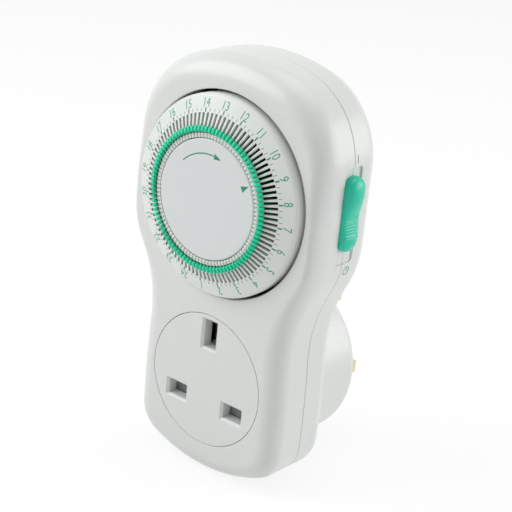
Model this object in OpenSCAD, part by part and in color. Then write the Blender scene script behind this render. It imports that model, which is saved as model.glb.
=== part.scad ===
// Plug-in timer switch with a 24-hour dial: a British three-pin plug behind, a shuttered
// socket in front, and a dial of 96 tappets that works a switch between the two.
// Each piece is drawn lying on its back: X to the right, Y up the wall, Z out of the wall.
// stand() then stands it up, so that in the finished part +Z is up and +Y goes into the wall.
// The origin lies on the plug's seating face, midway between the live and neutral pins.

/* [Housing] */
// Width of the upper lobe, round the dial
upper_w = 71; // [69:0.5:72]
// Width of the lower lobe, round the socket
lower_w = 55.6; // [54:0.1:57]
// Height of the top above the dial's centre
top_over = 40.8; // [40.4:0.1:43]
// Depth of the bottom below the live and neutral line
base_drop = 23.6; // [22.5:0.1:26]
// Wall of both covers
wall = 2; // [1.8:0.1:2.2]
// Distance from the plug's seating face to the socket's face
socket_face = 42.5; // [42.2:0.1:43]
// Distance from the seating face to the joint between the covers
parting = 28.5; // [28.2:0.1:28.8]
// Distance from the seating face to the back of the housing
shell_back = 15.5; // [14.5:0.1:15.8]
// Rounding of the lower lobe's front edge
front_edge = 6; // [5:0.1:6.4]
// Rounding of the front edge over the dial, as wide as it is deep
top_edge = 8; // [7:0.1:8.4]
// Width of the same rounding beside the dial
side_edge = 3; // [2.6:0.1:3.4]
// Rounding of the rear edge
rear_edge = 6.5; // [5:0.5:7]
// How far the face round the dial stands proud of the socket's face
bulge = 0.5; // [0.4:0.1:0.8]

/* [Plug and socket] */
// Distance between the live and neutral pins
pin_pitch = 22.2; // [21.8:0.1:22.6]
// Height of the earth pin above the other two
earth_rise = 22.2; // [21.8:0.1:22.6]
// Width of a live or neutral pin
pin_w = 6.35; // [6.2:0.05:6.5]
// Thickness of every pin
pin_t = 4; // [3.9:0.05:4.1]
// Height of the earth pin's section
earth_h = 8; // [7.8:0.05:8.1]
// Length of a live or neutral pin beyond the seating face
pin_len = 17.7; // [17:0.1:18.5]
// Length of the earth pin beyond the seating face
earth_len = 22.7; // [22:0.1:23.5]
// Length of the insulating sleeve on the live and neutral pins
sleeve_len = 9.5; // [8:0.1:10]
// Radius of the round plug boss
boss_r = 26.8; // [26:0.1:26.9]
// Rounding of the plug boss's edge
boss_edge = 5; // [3:0.5:6]
// Radius of the round socket insert
insert_r = 21.05; // [20.6:0.05:21.3]
// Height of the insert's and boss's centre above the live and neutral line
insert_rise = 7.4; // [7:0.1:7.8]
// Width of the lead-in round each socket aperture
lead_in = 0.7; // [0.4:0.1:0.8]
// Room round a pin in its aperture
aperture_gap = 0.4; // [0.3:0.05:0.45]

/* [Dial] */
// Height of the dial's centre above the live and neutral line
dial_rise = 66.3; // [66:0.1:66.6]
// Radius of the dial
dial_r = 30.1; // [29.8:0.1:30.2]
// Distance from the seating face to the dial's face, at the outer ends of the slots
dial_face = 47.1; // [46.9:0.1:47.3]
// Rise of the conical face for each millimetre inward
dial_slope = 0.38; // [0.36:0.01:0.4]
// Radius of the fixed disc in the middle
cap_r = 17.8; // [17.2:0.1:17.9]
// Distance from the seating face to the fixed disc's face
cap_face = 49.4; // [49.2:0.1:49.8]
// Hours round the dial
hours = 24; // [24]
// Tappets in an hour
per_hour = 4; // [4]
// Outer end of a tappet's slot
slot_out = 24.8; // [24.6:0.1:24.9]
// Width of a slot
slot_w = 0.85; // [0.8:0.01:0.88]
// Thickness of a tappet
tappet_t = 0.7; // [0.6:0.01:0.72]
// Travel of a tappet from off to on
tappet_travel = 2.9; // [2.6:0.1:3]
// Direction of the 24 mark, counter-clockwise from the right
zero_angle = -109.3; // [-110:0.1:-108]

/* [Gears] */
// Module of the gear under the dial and of its pinion
drive_module = 0.8; // [0.78:0.01:0.81]
// Module of the clutch wheel and of the motor's pinion
motor_module = 0.5; // [0.48:0.01:0.51]
// Teeth of each wheel
wheel_teeth = 48; // [48]
// Teeth of each pinion
pinion_teeth = 12; // [12]
// Play between meshing teeth
backlash = 0.12; // [0.08:0.01:0.2]

/* [Motor] */
// Radius of the motor's can
can_r = 17; // [16.5:0.1:17.2]
// Depth of the motor's can
can_h = 12.5; // [12:0.1:12.8]

/* [Switch and override] */
// Travel of the override slider
slider_travel = 2.2; // [2:0.1:2.4]
// Length of the slider's knob
knob_len = 22.5; // [21.5:0.1:24]
// Width of the slider's knob
knob_w = 7.6; // [6.8:0.1:8]
// How far the knob stands out of the housing's side
knob_out = 3.2; // [2.8:0.1:4]
// How far the knob's lower end lies below the dial's centre
knob_drop = 9.3; // [9:0.1:9.6]
// Swing of the trip lever when the slider is up, in degrees
lever_swing = 5.96; // [5.7:0.02:6.1]

/* [Shutter] */
// Travel of the shutter
shutter_travel = 6.2; // [5.9:0.1:6.3]
// Turns of the shutter's spring
spring_turns = 5; // [4:1:6]

/* [Hidden] */
// Rest of the clearances
slip = 0.05;        // shaft in a bore, or a piece in its pocket
seat = 0.1;         // pieces that are seated on each other
run = 0.3;          // pieces that pass each other
seam = 0.15;        // gap round the socket insert

// Heights out of the wall, from the seating face forward
plate_back = parting + 3;
plate_t = 1.6;
plate_front = plate_back + plate_t;
wheel_back = plate_front + 0.4;
wheel_t = 2;
wheel_front = wheel_back + wheel_t;
clutch_spring_t = 0.5;
pinion_back = wheel_front + clutch_spring_t + 2 * seat;
pinion_t = 3.8;
pinion_front = pinion_back + pinion_t;
flange_back = pinion_front + run + seat;
dial_gear_t = 2.8;
flange_t = 1.5;
hub_foot = flange_back - dial_gear_t;
flange_front = flange_back + flange_t;
ear_w = 5;
dial_t = 1.3;
floor_t = 3;
contact_foot = 21;
contact_t = 1;
earth_foot = socket_face - earth_len - contact_t - 0.3;
contact_front = 36.5;
leaf_t = 0.7;
rib_in = 3;
rib_out = 4.6;
insert_back = 38.5;
live_pin_end = 9;
knob_mid = parting;
collar_foot = wheel_front + 0.5;
collar_front = socket_face + 0.2;
post_front = socket_face - 0.8;

// Housing outline: arcs that run into each other, from the top down the right side
side_x = upper_w / 2;
top_r = 60;
corner_r = 25.2;
shoulder_r = 33;
top_rise = dial_rise + top_over;
shoulder_rise = dial_rise - 9;
waist_r = 46;
lobe_r = 300;
base_r = 52;
base_corner_r = 11.3;
bulge_from = insert_rise + insert_r - 2.4;
bulge_to = shoulder_rise - 5;
c_top = [0, top_rise - top_r];
c_corner = [side_x - corner_r,
    c_top[1] + sqrt(pow(top_r - corner_r, 2) - pow(side_x - corner_r, 2))];
c_shoulder = [side_x - shoulder_r, shoulder_rise];
c_lobe = [lower_w / 2 - lobe_r, 0];
c_waist = crossing(c_shoulder, shoulder_r + waist_r, c_lobe, lobe_r + waist_r, 1);
c_base = [0, base_r - base_drop];
c_base_corner = crossing(c_lobe, lobe_r - base_corner_r, c_base, base_r - base_corner_r, -1);
a_top = heading(c_corner - c_top);
a_shoulder = heading(c_waist - c_shoulder);
a_lobe = heading(c_waist - c_lobe);
a_side = heading(c_base_corner - c_lobe);
a_base = heading(c_base_corner - c_base);

// Fixings
screw_x = 23.5;
screw_rise = dial_rise + 25.7;
low_screw_x = 17.5;
low_screw_rise = 13;
screw_r = 1.4;
screw_head_r = 2.5;
screw_head_t = 2;
screw_len = 18;
post_r = 3.2;
rear_post_r = 4.4;
screw_hole = screw_r + slip;
screw_pass = screw_r + 0.2;
head_pocket_r = screw_head_r + run;
head_seat = shell_back + 4;
low_head_seat = 12;
low_post_end = 20;
peg_rise = dial_rise - dial_r - 3.2;
peg_post_r = 2;
peg_r = 1;

// Dial
dial_c = [0, dial_rise];
slots = hours * per_hour;
pitch_angle = 360 / slots;
pocket_r = dial_r + 0.9;
collar_r = pocket_r + 1.8;
skirt_r = dial_r - 1;
skirt_foot = 40.5;
dial_edge = 1.6;
ring_in = cap_r + 0.2;
ring_out = ring_in + 1;
ring_face = dial_at(ring_out);
slope_angle = atan(dial_slope);
rim_rise = dial_at(dial_r - dial_edge * (1 - sin(slope_angle))) - dial_edge * cos(slope_angle);
post_bearing_r = 8;
hub_r = 11;
web_t = 2;
shoulder_foot_r = 10;
cap_t = 1.4;
cap_collar_r = 9.6;
stem_r = 3;

// Tappets
slot_in = ring_out + run;
neck_out = slot_out - tappet_travel - seat;
neck_front = dial_face - 0.3;
stem_out = slot_in + 0.9;
head_in = slot_in + 0.2;
head_len = 1.8;
head_w = 1.05;
head_back = dial_at(head_in) + 0.1;
head_t = 1.2;
head_round = 0.35;
foot_out = slot_out + 0.4;
foot_back = flange_front + 0.2;
foot_t = 1.4;
hook_in = slot_out + seat;
hook_front = dial_at(dial_r - 2) - dial_t - 2 * seat;
notch_w = 0.5;
notch_t = 0.6;

// Gear train
drive_wheel_r = drive_module * wheel_teeth / 2;
drive_pinion_r = drive_module * pinion_teeth / 2;
motor_wheel_r = motor_module * wheel_teeth / 2;
motor_pinion_r = motor_module * pinion_teeth / 2;
clutch_c = dial_c + [0, drive_wheel_r + drive_pinion_r];
output_angle = 225;
output_c = clutch_c + polar(motor_wheel_r + motor_pinion_r, output_angle);
axle_r = 1;
clutch_hub_r = 3;
clutch_spring_r = 2 * clutch_hub_r;
slit_w = 0.8;
motor_c = dial_c - [8, 0.3];
can_wall = 1;
can_back = plate_back - can_h;
coil_in = 9.6;
coil_out = 15.6;
rotor_r = 8.6;
rotor_shaft_r = 0.8;

// Trip lever, switch and override
pivot_c = dial_c + [22, -20.3];
pivot_r = 1.5;
nose_r = 0.4;
nose_angle = 5.1;
nose_c = dial_c + polar(foot_out + nose_r + run + seat, nose_angle);
nose_front = flange_front + 1.8;
finger_c = dial_c + [17.2, -9.3];
finger_r = 0.8;
plunger_travel = (finger_c[1] - pivot_c[1]) * sin(lever_swing);
finger_back = plate_back - 8.9;
lever_back = wheel_back;
lever_t = 1.8;
lever_w = 3;
switch_x = [finger_c[0] + 2.2, side_x - wall - 3.5];
switch_y = [finger_c[1] - 10, finger_c[1] + 11.4];
switch_z = [plate_back - 10.7, plate_back - 4];
switch_mid = (switch_x[0] + switch_x[1]) / 2;
switch_peg_r = 1.2;
switch_pegs = [[switch_mid, switch_y[0] + 2.2], [switch_mid, switch_y[1] - 2]];
plunger_z = finger_back + 1.6;
plunger_r = 0.8;
plunger_tip = finger_c[0] + finger_r + seat;
plunger_len = 3.6;
terminal_back = switch_z[0] - 2.6;
terminal_ys = [for (d = [-7.5, 0, 7.5]) finger_c[1] + d];
terminal_size = [3, 0.8];
groove_t = 0.6;
knob_rise = dial_rise - knob_drop;
knob_foot = side_x - groove_t + seat;
neck_y = [knob_rise + 6, knob_rise + 14];
neck_t = 3;
cam_x = [side_x - wall - 3.1, side_x - wall - 0.7];
cam_y = [knob_rise, knob_rise + 18];
cam_z = [knob_mid - neck_t / 2 - 1.4, plate_back - run];
arm_z = [switch_z[1] + 0.5, plate_back - 1.3];
arm_y = [finger_c[1] + 1.2, finger_c[1] + 3.3];
prong_y = finger_c[1] - 4;
prong_x = finger_c[0] - 4;
finger_lift = 0.5;
ramp_slope = plunger_travel / (slider_travel - finger_lift);
ramp_gap = (finger_r + 0.12) * sqrt(1 + pow(ramp_slope, 2));

// Shutter
blade_front = insert_back - run;
blade_t = 1.2;
blade_x = 16;
blade_y = pin_t / 2 + aperture_gap + 1.2;
web_x = 3;
ramp_x = 1.7;
earth_low = earth_rise - earth_h / 2;
ramp_high = earth_low + shutter_travel - 0.1;
ramp_deep = blade_front - shutter_travel - 0.8;
foot_y = blade_y + 0.8;
foot_z = [34.4, blade_front];
spring_r = 1.3;
spring_wire = 0.2;
spring_stop = 13.4;
spring_mid = foot_z[0] + spring_r + spring_wire + 0.2;

// Wires: the points are chosen by hand, and each end lies flat on what it joins
wire_r = 1;
lead_r = 0.7;
wire_end = 0.03;
feed_path = [
    [pin_pitch / 2, 0, live_pin_end + wire_end], [pin_pitch / 2, 0, 11.6], [9, 0.2, 13.2],
    [5.2, 1.6, 13.6], [5.2, 6, 13.6], [7, 10, 13.6], [8, 16, 13.8], [8.6, 23, 15.6],
    [10, 28, 19], [14, 36, 20], [20, terminal_ys[0] - 7.5, 19.8],
    [23.4, terminal_ys[0] - 5.3, 19.5], [switch_mid, terminal_ys[0] - 2.9, 19.5],
    [switch_mid, terminal_ys[0] - terminal_size[1] / 2 - wire_end, 19.5]];
load_path = [
    [switch_mid, terminal_ys[2] + terminal_size[1] / 2 + wire_end, 19.5],
    [switch_mid, terminal_ys[2] + 2.5, 19.5], [26, terminal_ys[2] + 4.9, 19.4],
    [28.8, terminal_ys[2] + 4.5, 19.3], [30.4, terminal_ys[2] + 1.5, 19.3],
    [30.4, terminal_ys[2] - 6.5, 19.3], [29, terminal_ys[0] - 0.5, 19.3],
    [25, terminal_ys[0] - 8.5, 21.6], [18, 31, 22.6], [12.4, 22, 22],
    [11.4, 14, 21.6], [pin_pitch / 2, 8, 21.5], [pin_pitch / 2, rib_out + wire_end, 21.5]];
neutral_lead = [
    [-pin_pitch / 2, can_edge(-pin_pitch / 2) - wire_end - seat, 24], [-pin_pitch / 2, 46, 24],
    [-pin_pitch / 2, 41, 23.2], [-pin_pitch / 2, 32, 21.9], [-pin_pitch / 2, 20, 21.5],
    [-pin_pitch / 2, pin_t / 2 + slip + leaf_t + wire_end, 21.5]];
live_lead = [
    [-4, can_edge(-4) - wire_end - seat, 24], [-4, 46, 24], [-4, 42, 22.6],
    [-4.4, 36, 21.4], [-5, 29.5, 18.6], [-5, 24, 14.4], [-5, 12, 11], [-3, 5, 8.6],
    [1.5, 1.2, 7.2], [4.5, 0, 7], [pin_pitch / 2 - pin_w / 2 - wire_end, 0, 7]];

// Fineness
arc_steps = 7;
edge_steps = 6;
$fn = 96;

// Colours
white = [0.86, 0.87, 0.855];
dial_white = [0.9, 0.91, 0.895];
green = [0.08, 0.72, 0.5];
knob_green = [0.1, 0.66, 0.52];
brass = [0.8, 0.66, 0.34];
steel = [0.72, 0.73, 0.75];
nylon = [0.93, 0.92, 0.86];
dark = [0.16, 0.16, 0.17];

// ---- Names and plane geometry ----

function tappet_name(hour) = str("tappet_", hour < 10 ? "0" : "", hour);
function quarter_name(q) = str("tappets_quarter_", q);
function polar(r, a) = [r * cos(a), r * sin(a)];
function heading(v) = atan2(v[1], v[0]);
function flange_r() = slot_out - run;
function dial_at(r) = dial_face + dial_slope * (slot_out - r);
function can_edge(x) = motor_c[1] - sqrt(pow(can_r, 2) - pow(x - motor_c[0], 2));

// Points along an arc from angle a to angle b, with its last point left to the next arc
function arc(c, r, a, b, n = arc_steps) = [for (i = [0:n - 1]) c + polar(r, a + (b - a) * i / n)];

// Where two circles cross, on the left of the line between them (s = 1) or the right (-1)
function crossing(a, ra, b, rb, s) =
    let (d = norm(b - a), u = (b - a) / d, m = (ra * ra - rb * rb + d * d) / (2 * d))
    a + u * m + s * sqrt(ra * ra - m * m) * [-u[1], u[0]];

// Right half of the housing's outline, drawn in by t
function half_outline(t) = concat(
    arc(c_top, top_r - t, 90, a_top, 4),
    arc(c_corner, corner_r - t, a_top, 0, 8),
    [c_corner + [corner_r - t, 0]],
    arc(c_shoulder, shoulder_r - t, 0, a_shoulder, 5),
    arc(c_waist, waist_r + t, a_shoulder + 180, a_lobe + 180, 6),
    arc(c_lobe, lobe_r - t, a_lobe, a_side, 6),
    arc(c_base_corner, base_corner_r - t, a_side, a_base, 7),
    arc(c_base, base_r - t, a_base, -90, 4),
    [c_base + polar(base_r - t, -90)]);

// The whole outline, clockwise from the top
function outline(t) = let (half = half_outline(t), n = len(half))
    concat(half, [for (i = [n - 2:-1:1]) [-half[i][0], half[i][1]]]);

// How far a height lies on the way from the socket (0) to the dial (1)
function near_dial(y) = let (s = min(1, max(0, (y - bulge_from) / (bulge_to - bulge_from))))
    s * s * (3 - 2 * s);

// Height of the front face: level at the socket, and raised round the dial
function face_at(y) = socket_face + bulge * near_dial(y);

// A gear's outline: involute flanks on a base circle, with short teeth that never undercut
function involute(a) = tan(a) - a * PI / 180;
function half_tooth(r, pitch_r, base_r, m) =
    (PI * m / 2 - backlash) / (2 * pitch_r) * 180 / PI
    + (involute(20) - involute(acos(min(1, base_r / r)))) * 180 / PI;
function gear_points(m, teeth) =
    let (pitch_r = m * teeth / 2, base_r = pitch_r * cos(20), tip = pitch_r + 0.7 * m,
         root = pitch_r - m, low = max(root, base_r),
         flank = concat(root < low ? [root] : [], [for (i = [0:3]) low + (tip - low) * i / 3]))
    [for (i = [0:teeth - 1])
        each concat(
            [for (r = flank) polar(r, 360 * i / teeth - half_tooth(max(r, low), pitch_r, base_r, m))],
            [for (k = [len(flank) - 1:-1:0])
                polar(flank[k], 360 * i / teeth + half_tooth(max(flank[k], low), pitch_r, base_r, m))])];

// ---- Building blocks ----

// Stands a piece up: its Y becomes up, and its Z comes out of the wall
module stand() rotate([90, 0, 0]) children();

// A block between two corners
module block(x, y, z) translate([x[0], y[0], z[0]]) cube([x[1] - x[0], y[1] - y[0], z[1] - z[0]]);

// A round bar out of the wall, at c, from z0 to z1
module bar(c, r, z0, z1) translate([c[0], c[1], z0]) cylinder(r = r, h = z1 - z0);

module mirrored() {
    children();
    mirror([1, 0, 0]) children();
}

// A closed skin over rings of points that run clockwise as seen from the first ring's end
module skin(rings) {
    n = len(rings[0]);
    last = (len(rings) - 1) * n;
    side = [for (k = [0:len(rings) - 2]) for (i = [0:n - 1])
        let (j = (i + 1) % n, a = k * n, b = a + n)
        each [[a + i, b + i, b + j], [a + i, b + j, a + j]]];
    cap = [for (i = [0:n / 2 - 1])
        let (j = (n - i) % n)
        each concat(
            i < n / 2 - 1 ? [[i, i + 1, n - i - 1]] : [],
            i > 0 ? [[i, n - i - 1, j]] : [])];
    polyhedron(
        points = [for (r = rings) each r],
        faces = concat(side,
            [for (f = cap) if (f[0] != f[1] && f[1] != f[2] && f[0] != f[2]) f],
            [for (f = cap) if (f[0] != f[1] && f[1] != f[2] && f[0] != f[2])
                [last + f[2], last + f[1], last + f[0]]]));
}

// Width and depth of the front edge's rounding at a point of the outline: it grows from the
// socket to the dial, and round the dial from its sides to its top
function edge_at(p) = let (q = near_dial(p[1]), v = p - dial_c,
    w = side_edge + (top_edge - side_edge) * max(0, v[1]) / norm(v))
    [front_edge + q * (w - front_edge), front_edge + q * (top_edge - front_edge)];

// The front cover's form from its face to the joint, drawn in by t
module front_form(t, end) {
    rim = outline(t);
    next = outline(t + 1);
    edges = [for (p = outline(0)) edge_at(p) - [t, t]];
    skin(concat(
        [for (k = [0:edge_steps]) let (a = 90 * k / edge_steps)
            [for (i = [0:len(rim) - 1])
                let (p = rim[i] + (next[i] - rim[i]) * edges[i][0] * (1 - sin(a)))
                [p[0], p[1], face_at(p[1]) - t - edges[i][1] * (1 - cos(a))]]],
        [[for (p = rim) [p[0], p[1], end]]]));
}
module rear_form(t, r, end)
    skin(concat(
        [[for (p = outline(t)) [p[0], p[1], end]]],
        [for (k = [0:edge_steps]) let (a = 90 * k / edge_steps)
            [for (p = outline(t + r * (1 - cos(a))))
                [p[0], p[1], shell_back + t + r * (1 - sin(a))]]]));

// The rounded slot in the covers' side that the slider's neck runs in, and its groove
module slider_cut() {
    block([side_x - wall - 1, side_x + 1], [neck_y[0] - run, neck_y[1] + slider_travel + run],
        [knob_mid - neck_t / 2 - run, knob_mid + neck_t / 2 + run]);
    block([side_x - groove_t, side_x + 1], [knob_rise - 4, knob_rise + knob_len + slider_travel + run],
        [knob_mid - knob_w / 2 - seat, knob_mid + knob_w / 2 + seat]);
}

// A rectangular aperture with a sloped lead-in, through the insert's front
module aperture(c, w, h) {
    translate([c[0], c[1], 0]) {
        block([-w / 2, w / 2], [-h / 2, h / 2], [insert_back - 1, socket_face + 1]);
        hull() {
            block([-w / 2, w / 2], [-h / 2, h / 2], [socket_face - lead_in - 0.01, socket_face - lead_in]);
            block([-w / 2 - lead_in - 0.3, w / 2 + lead_in + 0.3],
                [-h / 2 - lead_in - 0.3, h / 2 + lead_in + 0.3],
                [socket_face + 0.3, socket_face + 0.31]);
        }
    }
}

// A plug pin with a chamfered tip, w wide and h high, from its inner end to its length
module plug_pin(w, h, length, inner) {
    tip = 1;
    intersection() {
        rotate([90, 0, 0]) linear_extrude(h, center = true)
            polygon([[-w / 2, inner], [w / 2, inner], [w / 2, tip - length], [w / 2 - tip, -length],
                     [tip - w / 2, -length], [-w / 2, tip - length]]);
        rotate([90, 0, 90]) linear_extrude(w, center = true)
            polygon([[-h / 2, inner], [h / 2, inner], [h / 2, tip - length], [h / 2 - tip, -length],
                     [tip - h / 2, -length], [-h / 2, tip - length]]);
    }
}

// A U-shaped clip: two sprung leaves on a base, gripping a pin that is t thick and w wide
module clip(t, w, base, foot) {
    grip = t / 2 + slip;
    for (s = [-1, 1])
        block([-w / 2, w / 2], s > 0 ? [grip, grip + leaf_t] : [-grip - leaf_t, -grip],
            [foot, contact_front]);
    block([-w / 2, w / 2], [-base, base], [foot, foot + contact_t]);
}

// A screw with a cross in its head, driven from the back
module screw(c, head_at) {
    difference() {
        union() {
            bar(c, screw_head_r, head_at - screw_head_t, head_at);
            bar(c, screw_r, head_at, head_at + screw_len);
        }
        for (a = [0, 90]) translate([c[0], c[1], head_at - screw_head_t]) rotate(a)
            block([-1.8, 1.8], [-0.35, 0.35], [-1, 1.1]);
    }
}

// A round wire through its points, with flat ends
module wire(path, r) {
    sides = 8;
    n = len(path);
    skin([for (i = [0:n - 1])
        let (a = path[max(0, i - 1)], b = path[min(n - 1, i + 1)], d = (b - a) / norm(b - a),
             u0 = abs(d[1]) < 0.9 ? cross(d, [0, 1, 0]) : cross(d, [0, 0, 1]), u = u0 / norm(u0),
             v = cross(d, u))
        [for (k = [0:sides - 1]) path[i] + r * (cos(360 * k / sides) * u + sin(360 * k / sides) * v)]]);
}

// ---- Fixed pieces ----

module front_cover() color(white) stand() difference() {
    union() {
        difference() {
            front_form(0, parting);
            front_form(wall, parting - 1);
        }
        bar(dial_c, collar_r, collar_foot, collar_front);
        mirrored() bar([screw_x, screw_rise], post_r, plate_front, post_front);
        bar([0, peg_rise], peg_post_r, plate_front, socket_face - wall / 2);
        bar([0, peg_rise], peg_r, plate_back, plate_front + 1);
    }
    bar(dial_c, pocket_r, collar_foot - 1, cap_face);
    bar([0, insert_rise], insert_r + seam, insert_back, cap_face);
    mirrored() bar([screw_x, screw_rise], screw_hole, plate_front - 1, head_seat + screw_len + 0.5);
    slider_cut();
}

module socket_plate() color(white) stand() difference() {
    lip = 1.6;
    union() {
        bar([0, insert_rise], insert_r, insert_back, socket_face);
        bar([0, insert_rise], insert_r + lip, insert_back, socket_face - wall - seat);
        mirrored() bar([low_screw_x, low_screw_rise], post_r, low_post_end + seat, insert_back + 1);
        mirrored() block([blade_x + 0.4, blade_x + 1.6], [-10, 5],
            [blade_front - blade_t - 1, insert_back + 1]);
        mirrored() block([blade_x - 0.8, blade_x + 1.6], [-10, 5],
            [blade_front - blade_t - 1, blade_front - blade_t - run]);
        block([-3, 3], [-spring_stop - 1.6, -spring_stop], [foot_z[0], insert_back + 1]);
    }
    aperture([pin_pitch / 2, 0], pin_w + 2 * aperture_gap, pin_t + 2 * aperture_gap);
    aperture([-pin_pitch / 2, 0], pin_w + 2 * aperture_gap, pin_t + 2 * aperture_gap);
    aperture([0, earth_rise], pin_t + 2 * aperture_gap, earth_h + 2 * aperture_gap);
    mirrored() bar([low_screw_x, low_screw_rise], screw_hole, low_post_end - 1,
        low_head_seat + screw_len + 0.5);
}

// The plug boss as a revolved cup, rounded at its seating face
module boss() translate([0, insert_rise, 0]) rotate_extrude()
    polygon(concat([[0, 0]],
        arc([boss_r - boss_edge, boss_edge], boss_edge, -90, 0),
        [[boss_r, boss_edge], [boss_r, shell_back + rear_edge + 1], [0, shell_back + rear_edge + 1]]));

module rear_cover() color(white) stand() difference() {
    union() {
        difference() {
            union() {
                rear_form(0, rear_edge, parting);
                boss();
            }
            rear_form(wall, rear_edge - wall, parting + 1);
            bar([0, insert_rise], boss_r - wall, floor_t, parting + 1);
        }
        mirrored() {
            bar([screw_x, screw_rise], rear_post_r, shell_back + wall * 0.8, parting - seat);
            bar([screw_x, screw_rise], post_r, shell_back + wall * 0.8, plate_back - seat);
        }
        mirrored() bar([low_screw_x, low_screw_rise], rear_post_r, floor_t / 2, low_post_end);
        for (s = [-1, 1])
            block([pin_pitch / 2 - 4, pin_pitch / 2 + 4], s > 0 ? [rib_in, rib_out] : [-rib_out, -rib_in],
                [floor_t / 2, contact_foot]);
        for (x = [-pin_pitch / 2, pin_pitch / 2]) pin_bush([x, 0], pin_w, pin_t);
        pin_bush([0, earth_rise], pin_t, earth_h);
    }
    for (x = [-pin_pitch / 2, pin_pitch / 2]) pin_hole([x, 0], pin_w, pin_t);
    pin_hole([0, earth_rise], pin_t, earth_h);
    mirrored() {
        bar([screw_x, screw_rise], screw_pass, shell_back, plate_back + 1);
        bar([screw_x, screw_rise], head_pocket_r, shell_back - 1, head_seat);
        bar([low_screw_x, low_screw_rise], screw_pass, 0, low_post_end + 1);
        bar([low_screw_x, low_screw_rise], head_pocket_r, -1, low_head_seat);
    }
    slider_cut();
}

// Raised rim that holds a pin where it passes the boss's floor
module pin_bush(c, w, h) translate([c[0], c[1], 0])
    block([-w / 2 - 0.9, w / 2 + 0.9], [-h / 2 - 0.9, h / 2 + 0.9], [floor_t / 2, floor_t + 2]);
module pin_hole(c, w, h) translate([c[0], c[1], 0])
    block([-w / 2 - slip, w / 2 + slip], [-h / 2 - slip, h / 2 + slip], [-1, floor_t + 3]);

module cover_screws() color(steel) stand() mirrored() {
    screw([screw_x, screw_rise], head_seat);
    screw([low_screw_x, low_screw_rise], low_head_seat);
}

// The plate that carries the dial, the gears, the motor and the switch
module mechanism_plate() color(nylon) stand() difference() {
    union() {
        bar(dial_c, dial_r - 1.1, plate_back, plate_front);
        mirrored() {
            bar([screw_x, screw_rise], post_r, plate_back, plate_front);
            ear(dial_c, [screw_x, screw_rise], ear_w);
        }
        bar([0, peg_rise], post_r, plate_back, plate_front);
        ear(dial_c, [0, peg_rise], ear_w);
        bar(dial_c, shoulder_foot_r, plate_back, hub_foot - run);
        bar(dial_c, post_bearing_r, plate_back, dial_face - 1.4);
        bar(pivot_c, post_r, plate_back, plate_front);
        bar(pivot_c, pivot_r, plate_back, lever_back + lever_t + 0.5);
        for (c = switch_pegs) {
            bar(c, post_r, plate_back, plate_front);
            bar(c, switch_peg_r + 0.4, switch_z[1], plate_front);
            bar(c, switch_peg_r, switch_z[0], plate_front);
        }
    }
    mirrored() bar([screw_x, screw_rise], screw_pass, plate_back - 1, plate_front + 1);
    bar([0, peg_rise], peg_r + slip, plate_back - 1, plate_front + 1);
    bar(dial_c, stem_r, plate_back - 1, dial_face);
    bar(clutch_c, axle_r + slip / 2, plate_back - 1, plate_front + 1);
    bar(output_c, motor_pinion_r + motor_module + run, plate_back - 1, plate_front + 1);
    block([finger_c[0] - finger_r - run, finger_c[0] + finger_r + plunger_travel + run],
        [finger_c[1] - finger_r - run, finger_c[1] + finger_r + finger_lift + run],
        [plate_back - 1, plate_front + 1]);
}

// A straight strip of the plate, w wide, from a to b
module ear(a, b, w) translate([a[0], a[1], plate_back]) rotate(heading(b - a))
    block([0, norm(b - a)], [-w / 2, w / 2], [0, plate_t]);

// The fixed disc in the middle of the dial, which also keeps the dial on its post
module centre_cap() color(dial_white) stand() translate([0, dial_rise, 0]) {
    bevel = 0.35;
    post_top = dial_face - 1.4 + seat;
    rotate_extrude() polygon([
        [0, cap_face], [cap_r - bevel, cap_face], [cap_r, cap_face - bevel], [cap_r, cap_face - cap_t],
        [cap_collar_r, cap_face - cap_t], [cap_collar_r, post_top], [stem_r - slip, post_top],
        [stem_r - slip, plate_front], [0, plate_front]]);
}

module live_pin() color(brass) stand() translate([pin_pitch / 2, 0, 0])
    sleeved_pin(live_pin_end);
module neutral_pin() color(brass) stand() translate([-pin_pitch / 2, 0, 0])
    sleeved_pin(contact_foot);
module earth_pin() color(brass) stand() translate([0, earth_rise, 0])
    plug_pin(pin_t, earth_h, earth_len, earth_foot);

// A current pin, waisted where its sleeve lies flush
sleeve_t = 0.6;
module sleeved_pin(inner) difference() {
    plug_pin(pin_w, pin_t, pin_len, inner);
    sleeve_blank(0);
}
module sleeve_blank(inside) difference() {
    block([-pin_w, pin_w], [-pin_t, pin_t], [-sleeve_len, 0]);
    block([sleeve_t - inside - pin_w / 2, pin_w / 2 - sleeve_t + inside],
        [sleeve_t - inside - pin_t / 2, pin_t / 2 - sleeve_t + inside], [-sleeve_len - 1, 1]);
}
module pin_sleeves() color(dark) stand() mirrored() translate([pin_pitch / 2, 0, 0])
    intersection() {
        block([-pin_w / 2, pin_w / 2], [-pin_t / 2, pin_t / 2], [-sleeve_len, 0]);
        sleeve_blank(0);
    }

module live_contact() color(brass) stand() translate([pin_pitch / 2, 0, 0])
    clip(pin_t, pin_w + 0.4, rib_out, contact_foot);
module neutral_contact() color(brass) stand() translate([-pin_pitch / 2, 0, 0])
    clip(pin_t, pin_w + 0.4, pin_t / 2 + slip + leaf_t, contact_foot);
module earth_contact() color(brass) stand() translate([0, earth_rise, 0]) rotate(90)
    clip(pin_t, earth_h + 0.4, pin_t / 2 + slip + leaf_t, earth_foot);

module live_wires() color([0.5, 0.28, 0.14]) stand() {
    wire(feed_path, wire_r);
    wire(load_path, wire_r);
}
module motor_leads() color([0.16, 0.34, 0.7]) stand() {
    wire(neutral_lead, lead_r);
    wire(live_lead, lead_r);
}

// ---- Motor ----

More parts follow.
